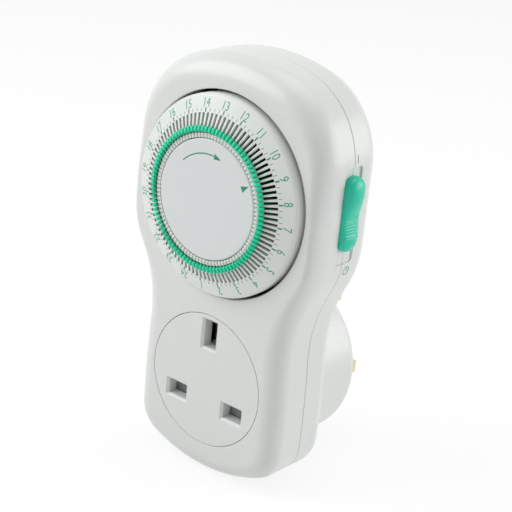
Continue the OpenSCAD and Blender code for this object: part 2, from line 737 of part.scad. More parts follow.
module motor_can() color(steel) stand() difference() {
    bar(motor_c, can_r, can_back, plate_back);
    bar(motor_c, can_r - can_wall, can_back + can_wall, plate_back - can_wall);
    bar(motor_c, rotor_shaft_r + slip, can_back - 1, plate_back + 1);
    bar(output_c, axle_r + slip, plate_back - 2, plate_back + 1);
}
module motor_coil() color([0.72, 0.38, 0.16]) stand() difference() {
    bar(motor_c, coil_out, can_back + can_wall, plate_back - can_wall - 1.4);
    bar(motor_c, coil_in, can_back, plate_back);
}
module motor_rotor() color(dark) stand() {
    bar(motor_c, rotor_r, can_back + can_wall + run, plate_back - can_wall - 1.4);
    bar(motor_c, rotor_shaft_r, can_back - 0.1, plate_back - seat);
}
module output_pinion() color(brass) stand() {
    bar(output_c, axle_r, plate_back - can_wall - 0.9, wheel_front);
    translate([output_c[0], output_c[1], wheel_back - seat]) linear_extrude(wheel_t + seat)
        polygon(gear_points(motor_module, pinion_teeth));
}

// ---- Clutch and dial train ----

module clutch_axle() color(steel) stand()
    bar(clutch_c, axle_r, plate_back + seat, flange_back - run);
module clutch_wheel() color(nylon) stand() translate([clutch_c[0], clutch_c[1], wheel_back])
    linear_extrude(wheel_t) difference() {
        polygon(gear_points(motor_module, wheel_teeth));
        circle(clutch_hub_r + slip);
    }
module clutch_pinion() color(green) stand() translate([clutch_c[0], clutch_c[1], 0]) difference() {
    union() {
        translate([0, 0, wheel_back - seat])
            cylinder(r = clutch_hub_r, h = pinion_back - wheel_back + 2 * seat);
        translate([0, 0, pinion_back]) rotate(180 / pinion_teeth)
            linear_extrude(pinion_front - pinion_back)
            polygon(gear_points(drive_module, pinion_teeth));
    }
    cylinder(r = axle_r + slip, h = pinion_front + 1);
}
module clutch_spring() color(steel) stand()
    translate([clutch_c[0], clutch_c[1], wheel_front + seat / 2])
    linear_extrude(clutch_spring_t) difference() {
        circle(clutch_spring_r);
        circle(clutch_hub_r + run);
        for (a = [0, 120, 240]) rotate(a) translate([clutch_hub_r + 1, -slit_w / 2])
            square([clutch_spring_r, slit_w]);
    }

// The dial: a conical face with a slot for each tappet, a toothed inner ring, a skirt and a hub
module dial() color(dial_white) stand() translate([0, dial_rise, 0]) difference() {
    rotate_extrude() polygon(concat(
        [[post_bearing_r + slip, hub_foot], [hub_r, hub_foot], [hub_r, flange_front],
         [ring_out, flange_front], [ring_out, ring_face - dial_t], [skirt_r, dial_at(skirt_r) - dial_t],
         [skirt_r, skirt_foot], [dial_r, skirt_foot]],
        arc([dial_r - dial_edge, rim_rise], dial_edge, 0, 90 - slope_angle),
        [[dial_r - dial_edge, rim_rise] + polar(dial_edge, 90 - slope_angle), [ring_out, ring_face],
         [ring_in, ring_face], [ring_in, flange_front + web_t], [hub_r, flange_front + web_t],
         [hub_r, dial_face - 1.6], [post_bearing_r + slip, dial_face - 1.6]]));
    for (i = [0:slots - 1]) rotate(zero_angle + (i + 0.5) * pitch_angle) {
        block([slot_in, slot_out], [-slot_w / 2, slot_w / 2],
            [dial_face - dial_t - 1, cap_face + 1]);
        block([ring_in - 0.5, ring_out + 0.5], [-notch_w / 2, notch_w / 2],
            [ring_face - notch_t, ring_face + 1]);
    }
}

// The gear clipped under the dial; its flange keeps the tappets in their slots
module dial_gear() color(nylon) stand() translate([0, dial_rise, 0]) difference() {
    union() {
        translate([0, 0, hub_foot]) linear_extrude(flange_back - hub_foot)
            polygon(gear_points(drive_module, wheel_teeth));
        translate([0, 0, flange_back]) cylinder(r = flange_r(), h = flange_front - flange_back);
    }
    translate([0, 0, hub_foot - 1]) cylinder(r = hub_r + slip, h = 6);
}

// A tappet: a head that lies along the dial's sloping face, on a thin stem, with a neck in the slot, and a foot that
// runs under the face to a hook past the slot's end
module tappet_at(index) translate([0, dial_rise, 0]) rotate(zero_angle + (index + 0.5) * pitch_angle)
    rotate([90, 0, 0]) {
        linear_extrude(tappet_t, center = true)
            polygon([[slot_in, foot_back], [foot_out, foot_back], [foot_out, hook_front],
                     [hook_in, hook_front], [hook_in, foot_back + foot_t], [neck_out, foot_back + foot_t],
                     [neck_out, neck_front], [stem_out, neck_front], [stem_out, head_back + 0.25],
                     [head_in, head_back + 0.25], [head_in, hook_front], [slot_in, hook_front]]);
        translate([head_in, head_back, 0]) rotate(-slope_angle)
            linear_extrude(head_w, center = true)
            polygon([[0, head_round], [head_round, 0], [head_len - head_round, 0],
                     [head_len, head_round], [head_len, head_t - head_round],
                     [head_len - head_round, head_t], [head_round, head_t], [0, head_t - head_round]]);
    }
module tappet(hour) color(green) stand() tappet_at((hour % hours) * per_hour);
module tappets_quarter(q) color(green) stand()
    for (h = [0:hours - 1]) tappet_at(h * per_hour + q - 1);

// ---- Switch and override ----

// The lever: its nose rides past the tappets, and its finger reaches back to the switch
module trip_lever() color(green) stand() difference() {
    union() {
        bar(pivot_c, pivot_r + 1.5, lever_back, lever_back + lever_t);
        bar(finger_c, finger_r, finger_back, lever_back + lever_t);
        bar(finger_c, lever_w / 2, lever_back, lever_back + lever_t);
        bar(nose_c, lever_w / 2, lever_back, lever_back + lever_t);
        bar(nose_c, nose_r, lever_back, nose_front);
        lever_strip(pivot_c, finger_c);
        lever_strip(finger_c, nose_c);
        lever_strip(pivot_c, nose_c);
    }
    bar(pivot_c, pivot_r + slip, lever_back - 1, lever_back + lever_t + 1);
}
module lever_strip(a, b) translate([a[0], a[1], lever_back]) rotate(heading(b - a))
    block([0, norm(b - a)], [-lever_w / 2 + 0.4, lever_w / 2 - 0.4], [0, lever_t]);

module switch_body() color(dark) stand() difference() {
    block(switch_x, switch_y, switch_z);
    for (c = switch_pegs) bar(c, switch_peg_r + slip, switch_z[0] - 1, switch_z[1] + 1);
    plunger_bar(switch_x[0] - 1, plunger_tip + plunger_len + plunger_travel + run, plunger_r + slip);
}
module plunger_bar(x0, x1, r) translate([x0, finger_c[1], plunger_z]) rotate([0, 90, 0])
    cylinder(r = r, h = x1 - x0);
module switch_plunger() color([0.75, 0.12, 0.1]) stand()
    plunger_bar(plunger_tip, plunger_tip + plunger_len, plunger_r);
module switch_terminals() color(brass) stand() for (y = terminal_ys)
    translate([switch_mid, y, 0])
        block([-terminal_size[0] / 2, terminal_size[0] / 2],
            [-terminal_size[1] / 2, terminal_size[1] / 2], [terminal_back, switch_z[0]]);

// The slider's knob: high at its upper end, hollowed for a thumb, and lower at its foot
function knob_rise_at(s) = knob_out * sqrt(max(0, 1 - pow(2 * s - 1, 8)))
    * (0.72 + 0.28 * smooth((s - 0.45) / 0.35) - 0.26 * exp(-pow((s - 0.42) / 0.17, 2)));
function smooth(v) = let (c = min(1, max(0, v))) c * c * (3 - 2 * c);
function knob_half(s) = let (e = knob_w / 2 / knob_len, d = max(0, e - min(s, 1 - s)) / e)
    knob_w / 2 * sqrt(max(0.02, 1 - d * d));
module override_slider() color(knob_green) stand() {
    rows = 24;
    sides = 12;
    skin([for (k = [0:rows])
        let (s = 0.004 + 0.992 * k / rows, w = knob_half(s), h = max(0.4, knob_rise_at(s)))
        [for (i = [0:sides]) let (a = 180 * i / sides)
            [knob_foot + (i == 0 || i == sides ? 0 : groove_t + (h - groove_t + 0.5) * pow(sin(a), 0.7)),
             knob_rise + knob_len * s, knob_mid + w * cos(a)]]]);
    block([cam_x[0] + 0.5, knob_foot + 1], neck_y, [knob_mid - neck_t / 2, knob_mid + neck_t / 2]);
}

// The plate inside that the knob clips to, with an arm whose ramp pushes the lever's finger
module override_cam() color(nylon) stand() difference() {
    ramp = function (y) finger_c[0] - ramp_gap - ramp_slope * (y - finger_c[1]);
    union() {
        block(cam_x, cam_y, cam_z);
        translate([0, 0, arm_z[0]]) linear_extrude(arm_z[1] - arm_z[0])
            polygon([[cam_x[1], arm_y[1]], [prong_x, arm_y[1]], [prong_x, prong_y],
                     [ramp(prong_y), prong_y], [ramp(arm_y[0]), arm_y[0]], [cam_x[1], arm_y[0]]]);
    }
    block([cam_x[0] + 0.5 - slip, cam_x[1] + 1], [neck_y[0] - slip, neck_y[1] + slip],
        [knob_mid - neck_t / 2 - slip, knob_mid + neck_t / 2 + slip]);
}

// ---- Shutter ----

// Two blades across the current apertures, and a ramp that the earth pin pushes down
module shutter() color(nylon) stand() {
    block([-blade_x, blade_x], [-blade_y, blade_y], [blade_front - blade_t, blade_front]);
    block([-web_x, web_x], [-blade_y, earth_low], [blade_front - blade_t, blade_front]);
    block([-2.4, 2.4], [-foot_y, -blade_y + 0.5], foot_z);
    rotate([90, 0, 90]) linear_extrude(2 * ramp_x, center = true)
        polygon([[earth_low - 3, blade_front], [earth_low, blade_front], [ramp_high, ramp_deep],
                 [earth_low - 3, ramp_deep]]);
}

// The spring that lifts the shutter again: one unbroken coil, upright
module shutter_spring() color(steel) stand() {
    length = spring_stop - foot_y - 2 * spring_wire;
    per_turn = 10;
    sides = 6;
    skin([for (i = [0:spring_turns * per_turn])
        let (a = 360 * i / per_turn, out = [cos(a), 0, sin(a)],
             y = -foot_y - spring_wire - length * i / (spring_turns * per_turn))
        [for (k = [0:sides - 1]) let (t = 360 * k / sides)
            [0, y, spring_mid] + (spring_r + spring_wire * cos(t)) * out + [0, spring_wire * sin(t), 0]]]);
}

// ---- The part ----

front_cover();
socket_plate();
rear_cover();
cover_screws();
mechanism_plate();
centre_cap();
live_pin();
neutral_pin();
earth_pin();
pin_sleeves();
live_contact();
neutral_contact();
earth_contact();
live_wires();
motor_leads();
motor_can();
motor_coil();
motor_rotor();
output_pinion();
clutch_axle();
clutch_wheel();
clutch_pinion();
clutch_spring();
dial();
dial_gear();
trip_lever();
switch_body();
switch_plunger();
switch_terminals();
override_slider();
override_cam();
shutter();
shutter_spring();
for (q = [2:per_hour]) tappets_quarter(q);
for (h = [1:hours]) tappet(h);
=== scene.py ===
import math

import bmesh
import bpy
from mathutils import Matrix, Vector


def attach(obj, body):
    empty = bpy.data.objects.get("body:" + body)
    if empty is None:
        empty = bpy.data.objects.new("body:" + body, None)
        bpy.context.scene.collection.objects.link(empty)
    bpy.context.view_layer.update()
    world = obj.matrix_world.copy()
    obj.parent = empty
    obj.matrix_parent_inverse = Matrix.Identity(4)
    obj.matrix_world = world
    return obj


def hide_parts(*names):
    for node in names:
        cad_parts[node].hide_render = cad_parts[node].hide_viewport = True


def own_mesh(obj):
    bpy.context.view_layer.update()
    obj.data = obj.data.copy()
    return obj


# The looks of a plug-in timer switch: a waisted white housing with a three-pin plug behind and a socket in
# front, a dial with 96 green tappets round a fixed disc, and a green override slider on the right side.

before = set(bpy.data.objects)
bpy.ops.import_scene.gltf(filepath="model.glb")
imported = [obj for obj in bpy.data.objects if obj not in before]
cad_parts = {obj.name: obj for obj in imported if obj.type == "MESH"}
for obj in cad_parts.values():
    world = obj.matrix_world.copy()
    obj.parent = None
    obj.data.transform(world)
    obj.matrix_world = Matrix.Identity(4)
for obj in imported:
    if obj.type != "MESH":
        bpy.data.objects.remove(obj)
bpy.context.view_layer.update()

# Sizes in millimetres, named as in the part's source. A point is (x to the right, y up, h out of the wall).
MM = 0.001
UPPER_W, LOWER_W, TOP_OVER, BASE_DROP, WALL = 71.0, 55.6, 40.8, 23.6, 2.0
SOCKET_FACE, PARTING, SHELL_BACK, REAR_EDGE, BULGE = 42.5, 28.5, 15.5, 6.5, 0.5
FRONT_EDGE, TOP_EDGE, SIDE_EDGE = 6.0, 8.0, 3.0
PIN_PITCH, EARTH_RISE, PIN_W, PIN_T, EARTH_H = 22.2, 22.2, 6.35, 4.0, 8.0
BOSS_R, BOSS_EDGE, INSERT_R, INSERT_RISE, SEAM = 26.8, 5.0, 21.05, 7.4, 0.15
LEAD_IN, APERTURE_GAP, PIN_GAP, INSERT_BACK = 0.7, 0.4, 0.05, 38.5
DIAL_RISE, DIAL_R, DIAL_FACE, DIAL_SLOPE, DIAL_EDGE, DIAL_T = 66.3, 30.1, 47.1, 0.38, 1.6, 1.3
SKIRT_R, SKIRT_FOOT, POCKET_R, COLLAR_R, COLLAR_FOOT = 29.1, 40.5, 31.0, 32.2, 36.0
CAP_R, CAP_FACE, RING_IN, RING_OUT = 17.8, 49.4, 18.0, 19.0
SLOT_IN, SLOT_OUT, SLOT_W, SLOTS = 19.3, 24.8, 0.85, 96
ZERO_ANGLE, PITCH = -109.3, 3.75
SCREW_X, SCREW_RISE, LOW_SCREW_X, LOW_SCREW_RISE = 23.5, 92.0, 17.5, 13.0
KNOB_RISE, KNOB_LEN, KNOB_W, KNOB_OUT, KNOB_FOOT, SLIDER_TRAVEL = 57.0, 22.5, 7.6, 3.2, 35.0, 2.2

SIDE_X = UPPER_W / 2
TOP_R, CORNER_R, SHOULDER_R, WAIST_R = 60.0, 25.2, 33.0, 46.0
LOBE_R, BASE_R, BASE_CORNER_R = 300.0, 52.0, 11.3
SHOULDER_RISE = DIAL_RISE - 9
BULGE_FROM, BULGE_TO = INSERT_RISE + INSERT_R - 2.4, SHOULDER_RISE - 5
PINS = ((PIN_PITCH / 2, 0, PIN_W, PIN_T), (-PIN_PITCH / 2, 0, PIN_W, PIN_T), (0, EARTH_RISE, PIN_T, EARTH_H))

# How close two points of a mesh are one point, in metres
SAME_POINT, SAME_POINT_AFTER_CUT = 1e-7, 1e-6
# Sides of round pieces: usual, large and seen from near, tubes and screw pockets, and the peg
ROUND_SIDES, FINE_SIDES, TUBE_SIDES, PEG_SIDES = 96, 144, 48, 32
# Steps of roundings: a block's edge, the openings' lips, the front and back edges, the boss and the disc
CORNER_STEPS, LIP_STEPS, FRONT_STEPS, BACK_STEPS, BOSS_STEPS, DISC_STEPS = 5, 4, 14, 10, 12, 5
# Softened edges: those sharper than this angle in degrees, in this number of steps
SOFT_ANGLE, SOFT_STEPS = 40, 2


def at(x, y, h):
    """A point of the housing's own axes in the row frame, in metres."""
    return Vector((x, -h, y)) * MM


# ---- Outline of the housing ----

def polar(r, a):
    """The point at a radius and an angle in degrees, from the right, anticlockwise."""
    return Vector((r * math.cos(math.radians(a)), r * math.sin(math.radians(a))))


def heading(v):
    """The angle in degrees of a direction."""
    return math.degrees(math.atan2(v[1], v[0]))


def crossing(a, ra, b, rb, side):
    """Where two circles cross, on the left of the line between them (1) or the right (-1)."""
    d = (b - a).length
    u = (b - a) / d
    m = (ra * ra - rb * rb + d * d) / (2 * d)
    return a + u * m + side * math.sqrt(ra * ra - m * m) * Vector((-u[1], u[0]))


C_TOP = Vector((0, DIAL_RISE + TOP_OVER - TOP_R))
C_CORNER = Vector((SIDE_X - CORNER_R,
                   C_TOP[1] + math.sqrt((TOP_R - CORNER_R) ** 2 - (SIDE_X - CORNER_R) ** 2)))
C_SHOULDER = Vector((SIDE_X - SHOULDER_R, SHOULDER_RISE))
C_LOBE = Vector((LOWER_W / 2 - LOBE_R, 0))
C_WAIST = crossing(C_SHOULDER, SHOULDER_R + WAIST_R, C_LOBE, LOBE_R + WAIST_R, 1)
C_BASE = Vector((0, BASE_R - BASE_DROP))
C_BASE_CORNER = crossing(C_LOBE, LOBE_R - BASE_CORNER_R, C_BASE, BASE_R - BASE_CORNER_R, -1)


def arc(c, r, a, b, n):
    """The first n of n + 1 points on a circle from the angle a to b."""
    return [c + polar(r, a + (b - a) * i / n) for i in range(n)]


def outline(t):
    """The housing's outline drawn in by t, clockwise from the top, with matching points for every t."""
    a_top, a_shoulder = heading(C_CORNER - C_TOP), heading(C_WAIST - C_SHOULDER)
    a_lobe, a_side = heading(C_WAIST - C_LOBE), heading(C_BASE_CORNER - C_LOBE)
    a_base = heading(C_BASE_CORNER - C_BASE)
    half = (arc(C_TOP, TOP_R - t, 90, a_top, 8) + arc(C_CORNER, CORNER_R - t, a_top, 0, 20)
            + arc(C_CORNER + Vector((CORNER_R - t, 0)), 0, 0, 1, 1)
            + [Vector((SIDE_X - t, C_CORNER[1] + (C_SHOULDER[1] - C_CORNER[1]) * k / 8)) for k in range(1, 8)]
            + arc(C_SHOULDER, SHOULDER_R - t, 0, a_shoulder, 14)
            + arc(C_WAIST, WAIST_R + t, a_shoulder + 180, a_lobe + 180, 14)
            + arc(C_LOBE, LOBE_R - t, a_lobe, a_side, 14)
            + arc(C_BASE_CORNER, BASE_CORNER_R - t, a_side, a_base, 16)
            + arc(C_BASE, BASE_R - t, a_base, -90, 8) + [C_BASE + polar(BASE_R - t, -90)])
    return half + [Vector((-p[0], p[1])) for p in half[-2:0:-1]]


def half_width(y):
    """The distance from the middle to the housing's right side at the height y."""
    points = outline(0)
    for a, b in zip(points, points[1:]):
        if a[1] >= y >= b[1] and a[0] > 0:
            return a[0] + (b[0] - a[0]) * (a[1] - y) / max(1e-9, a[1] - b[1])
    return SIDE_X


def quarter_turn(n):
    """The angles of a quarter turn in n steps, from 0, in radians."""
    return [math.pi / 2 * k / n for k in range(n + 1)]


def smooth_step(v):
    """v from 0 to 1, eased at both ends."""
    s = min(1.0, max(0.0, v))
    return s * s * (3 - 2 * s)


def near_dial(y):
    """How far a height lies on the way from the socket (0) to the dial (1)."""
    return smooth_step((y - BULGE_FROM) / (BULGE_TO - BULGE_FROM))


def face_at(y):
    """Height of the front face: level at the socket, and raised round the dial."""
    return SOCKET_FACE + BULGE * near_dial(y)


def edge_at(p):
    """Width and depth of the front edge's rounding at a point of the outline."""
    q, v = near_dial(p[1]), p - Vector((0, DIAL_RISE))
    w = SIDE_EDGE + (TOP_EDGE - SIDE_EDGE) * max(0.0, v[1]) / v.length
    return FRONT_EDGE + q * (w - FRONT_EDGE), FRONT_EDGE + q * (TOP_EDGE - FRONT_EDGE)


def edge_ring(t, a):
    """Points (x, y, h) of the front edge drawn in by t, at the angle a from its face (0) to its side."""
    ring = []
    for p, q in zip(outline(0), outline(1)):
        w, d = edge_at(p)
        b = p + (q - p) * (t + (w - t) * (1 - math.sin(a)))
        ring.append((b[0], b[1], face_at(b[1]) - t - (d - t) * (1 - math.cos(a))))
    return ring


# ---- Mesh helpers ----

def link(name, data):
    """An object of the scene with a mesh, curve, light or camera."""
    obj = bpy.data.objects.new(name, data)
    bpy.context.scene.collection.objects.link(obj)
    return obj


def build(name, points, faces):
    """A mesh object from points (x, y, h) in millimetres, with outward normals."""
    mesh = bpy.data.meshes.new(name)
    mesh.from_pydata([at(*p) for p in points], [], faces)
    bm = bmesh.new()
    bm.from_mesh(mesh)
    bmesh.ops.remove_doubles(bm, verts=bm.verts, dist=SAME_POINT)
    bmesh.ops.recalc_face_normals(bm, faces=bm.faces)
    bm.to_mesh(mesh)
    bm.free()
    return link(name, mesh)


def join(name, *objects):
    """One object from several, each kept as its own island."""
    bm = bmesh.new()
    for obj in objects:
        bm.from_mesh(obj.data)
        bpy.data.meshes.remove(obj.data)
    mesh = bpy.data.meshes.new(name)
    bm.to_mesh(mesh)
    bm.free()
    return link(name, mesh)


def triangulate(mesh):
    """Makes every face of a mesh a triangle."""
    bm = bmesh.new()
    bm.from_mesh(mesh)
    bmesh.ops.triangulate(bm, faces=bm.faces)
    bm.to_mesh(mesh)
    bm.free()


def combine(obj, other, how):
    """A boolean of obj with other, which is then gone."""
    triangulate(obj.data)
    triangulate(other.data)
    mod = obj.modifiers.new(how, "BOOLEAN")
    mod.operation, mod.solver, mod.object = how, "EXACT", other
    bpy.context.view_layer.update()
    old = obj.data
    mesh = bpy.data.meshes.new_from_object(obj.evaluated_get(bpy.context.evaluated_depsgraph_get()))
    obj.modifiers.clear()
    bm = bmesh.new()
    bm.from_mesh(mesh)
    bmesh.ops.remove_doubles(bm, verts=bm.verts, dist=SAME_POINT_AFTER_CUT)
    bmesh.ops.dissolve_degenerate(bm, edges=bm.edges, dist=SAME_POINT_AFTER_CUT)
    bm.to_mesh(mesh)
    bm.free()
    obj.data = mesh
    bpy.data.meshes.remove(old)
    bpy.data.meshes.remove(other.data)


def cut(obj, other):
    """Takes other out of obj."""
    combine(obj, other, "DIFFERENCE")


def flatten(rings):
    """The points of all rings in one list."""
    return [p for ring in rings for p in ring]


def prism(n, start=0):
    """Sides and ends of a prism, as faces over two loops of n points that follow each other."""
    sides = [[start + i, start + (i + 1) % n, start + n + (i + 1) % n, start + n + i] for i in range(n)]
    return sides + [[start + i for i in range(n)], [start + n + i for i in range(n)]]


def sleeve(count, n):
    """Faces between each two of count closed rings of n points."""
    return [[k * n + i, (k + 1) * n + i, (k + 1) * n + (i + 1) % n, k * n + (i + 1) % n]
            for k in range(count - 1) for i in range(n)]


def strips(ring):
    """Faces across a ring of points that is symmetric about its first point."""
    n = len(ring)
    half = n // 2
    first, last = [ring[0], ring[1], ring[n - 1]], [ring[half - 1], ring[half], ring[half + 1]]
    middle = [[ring[i], ring[i + 1], ring[n - i - 1], ring[n - i]] for i in range(1, half - 1)]
    return [first] + middle + [last]


def loft(name, rings):
    """A closed solid over rings of points that are symmetric about their first point."""
    n = len(rings[0])
    ends = strips(list(range(n))) + strips([(len(rings) - 1) * n + i for i in range(n)])
    return build(name, flatten(rings), sleeve(len(rings), n) + ends)


def skin(name, rings):
    """A closed solid over rings of points, with one face at each end."""
    n = len(rings[0])
    ends = [list(range(n)), [(len(rings) - 1) * n + i for i in range(n)]]
    return build(name, flatten(rings), sleeve(len(rings), n) + ends)


def lathe(name, profile, centre, steps=ROUND_SIDES, closed=True):
    """A solid of revolution of (radius, h) points about an axis out of the wall."""
    n = len(profile)
    points = []
    for j in range(steps):
        a = 2 * math.pi * j / steps
        points += [(centre[0] + r * math.cos(a), centre[1] + r * math.sin(a), h) for r, h in profile]
    faces = [[j * n + k, j * n + (k + 1) % n, (j + 1) % steps * n + (k + 1) % n, (j + 1) % steps * n + k]
             for j in range(steps) for k in range(n if closed else n - 1)]
    return build(name, points, faces)


def bar(name, centre, r, h0, h1, steps):
    """A round bar out of the wall, from the height h0 to h1."""
    return lathe(name, [(0, h0), (r, h0), (r, h1), (0, h1)], centre, steps, closed=False)


def tube(name, centre, r, bore, h0, h1):
    """A round tube out of the wall, from the height h0 to h1."""
    return lathe(name, [(bore, h0), (r, h0), (r, h1), (bore, h1)], centre, TUBE_SIDES)


def block(name, x, y, h, corner=0.0):
    """A block between two corners, with its four edges along x rounded."""
    loop = []
    inward = (corner, -corner)
    for cy, ch, start in ((1, 1, 0), (0, 1, 90), (0, 0, 180), (1, 0, 270)):
        for k in range(CORNER_STEPS + 1 if corner else 1):
            d = polar(corner, start + 90 * k / CORNER_STEPS)
            loop.append((y[cy] + inward[cy] + d[0], h[ch] + inward[ch] + d[1]))
    return build(name, [(end, py, ph) for end in x for py, ph in loop], prism(len(loop)))


def soften(obj, width):
    """Rounds the sharp edges of an object."""
    mod = obj.modifiers.new("soften", "BEVEL")
    mod.width, mod.segments, mod.limit_method = width * MM, SOFT_STEPS, "ANGLE"
    mod.angle_limit = math.radians(SOFT_ANGLE)


def wear(obj, body, mat, nodes=(), smooth=35, weighted=True):
    """Gives a piece its body, slot, material and shading, and hides the CAD nodes that it stands for."""
    obj.data.materials.clear()
    obj.data.materials.append(mat)
    for p in obj.data.polygons:
        p.use_smooth = True
    obj.data.set_sharp_from_angle(angle=math.radians(smooth))
    if weighted:
        mod = obj.modifiers.new("normals", "WEIGHTED_NORMAL")
        mod.keep_sharp = True
    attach(obj, body)
    if nodes:
        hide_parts(*nodes)


# ---- Materials ----

def srgb(r, g, b):
    """A colour given as it is seen on a screen, 0 to 255, as linear light."""
    linear = [((c / 255 + 0.055) / 1.055) ** 2.4 if c > 10 else c / 255 / 12.92 for c in (r, g, b)]
    return tuple(linear) + (1.0,)


COAT_ROUGH, BUMP_DETAIL, BUMP_DEPTH = 0.12, 2.0, 0.0002
# The sockets of a mix node's two colours, and of the colour that it gives
MIX_A, MIX_B, MIX_OUT = 6, 7, 2


def material(name, colour, colour2, rough, grain, detail=3.0, bump=0.02, bump_grain=2600.0, metallic=0.0,
             coat=0.0):
    """Moulded plastic or metal: two close colours and a roughness that vary in one grain, and a fine bump."""
    mat = bpy.data.materials.new(name)
    mat.use_nodes = True
    tree = mat.node_tree
    shader = tree.nodes["Principled BSDF"]
    shader.inputs["Metallic"].default_value = metallic
    shader.inputs["Coat Weight"].default_value = coat
    shader.inputs["Coat Roughness"].default_value = COAT_ROUGH
    place = tree.nodes.new("ShaderNodeTexCoord")
    noise = tree.nodes.new("ShaderNodeTexNoise")
    noise.inputs["Scale"].default_value = grain
    noise.inputs["Detail"].default_value = detail
    tree.links.new(place.outputs["Object"], noise.inputs["Vector"])
    mix = tree.nodes.new("ShaderNodeMix")
    mix.data_type = "RGBA"
    mix.inputs[MIX_A].default_value = srgb(*colour)
    mix.inputs[MIX_B].default_value = srgb(*colour2)
    tree.links.new(noise.outputs["Fac"], mix.inputs[0])
    tree.links.new(mix.outputs[MIX_OUT], shader.inputs["Base Color"])
    spread = tree.nodes.new("ShaderNodeMapRange")
    spread.inputs["To Min"].default_value, spread.inputs["To Max"].default_value = rough
    tree.links.new(noise.outputs["Fac"], spread.inputs["Value"])
    tree.links.new(spread.outputs["Result"], shader.inputs["Roughness"])
    fine = tree.nodes.new("ShaderNodeTexNoise")
    fine.inputs["Scale"].default_value = bump_grain
    fine.inputs["Detail"].default_value = BUMP_DETAIL
    tree.links.new(place.outputs["Object"], fine.inputs["Vector"])
    relief = tree.nodes.new("ShaderNodeBump")
    relief.inputs["Strength"].default_value = bump
    relief.inputs["Distance"].default_value = BUMP_DEPTH
    tree.links.new(fine.outputs["Fac"], relief.inputs["Height"])
    tree.links.new(relief.outputs["Normal"], shader.inputs["Normal"])
    return mat


WHITE = material("white_plastic", (225, 227, 225), (220, 223, 220), rough=(0.24, 0.34), grain=2600.0,
                 detail=1.0, bump_grain=1500.0)
DIAL_WHITE = material("dial_plastic", (228, 232, 227), (223, 227, 222), rough=(0.34, 0.44), grain=2600.0,
                      detail=1.0, bump=0.03, bump_grain=1800.0)
CAP_WHITE = material("disc_plastic", (222, 225, 225), (217, 221, 221), rough=(0.36, 0.46), grain=2600.0,
                     detail=1.0, bump=0.03, bump_grain=1700.0)
GREEN = material("tappet_green", (0, 216, 168), (0, 204, 156), rough=(0.3, 0.42), grain=700.0)
# The tappets' stems and feet: the same green plastic made darker, as painted shade of the deep slots they sit
# in
PAINTED_SHADE_GREEN = material("tappet_foot_green", (0, 96, 70), (0, 84, 62), rough=(0.4, 0.5), grain=700.0)
KNOB = material("slider_green", (0, 206, 172), (0, 194, 161), rough=(0.26, 0.36), grain=300.0, coat=0.1)
NUMBER = material("printed_number", (66, 150, 124), (84, 164, 140), rough=(0.4, 0.5), grain=1500.0)
PRINT = material("printed_green", (20, 132, 96), (40, 150, 112), rough=(0.4, 0.5), grain=1500.0)
NYLON = material("nylon", (232, 229, 216), (222, 219, 205), rough=(0.42, 0.55), grain=300.0)
BLACK = material("black_plastic", (48, 48, 50), (38, 38, 40), rough=(0.4, 0.55), grain=500.0)
SLEEVE = material("pin_sleeve", (46, 46, 48), (36, 36, 38), rough=(0.45, 0.6), grain=700.0)
GREY = material("shutter_grey", (132, 135, 139), (124, 127, 131), rough=(0.4, 0.5), grain=400.0)
RED = material("switch_red", (188, 44, 38), (172, 36, 32), rough=(0.35, 0.45), grain=700.0)
BRASS = material("brass", (232, 214, 160), (220, 200, 142), rough=(0.2, 0.36), grain=500.0, bump=0.06,
                 metallic=1.0)
STEEL = material("steel", (196, 198, 202), (176, 178, 183), rough=(0.22, 0.38), grain=400.0, bump=0.05,
                 metallic=1.0)
WINDING = material("copper_winding", (184, 104, 52), (158, 82, 38), rough=(0.28, 0.42), grain=1800.0,
                   bump=0.5, bump_grain=3200.0, metallic=0.7)
MAGNET = material("magnet", (72, 70, 72), (58, 56, 58), rough=(0.55, 0.7), grain=900.0, bump=0.2)
BROWN = material("wire_brown", (120, 74, 42), (106, 64, 36), rough=(0.35, 0.45), grain=700.0)
BLUE = material("wire_blue", (46, 92, 176), (38, 80, 160), rough=(0.35, 0.45), grain=700.0)


# ---- Housing ----

# Roundings of the pocket's and the insert's openings
LIP, INSERT_LIP = 0.35, 0.2
# The parting line: half its gap, how far its edges slope inward and along the side, and the gap's depth
PARTING_GAP, PARTING_STEP, PARTING_EDGE, RIM_W = 0.08, 0.12, 0.2, 0.9
# The line between the two openings, where the face's mesh is split: its height and its number of faces, and
# the number of rings from there to an opening
SPLIT_RISE, SPLIT_FACES, FACE_STEPS = 32.0, 24, 8


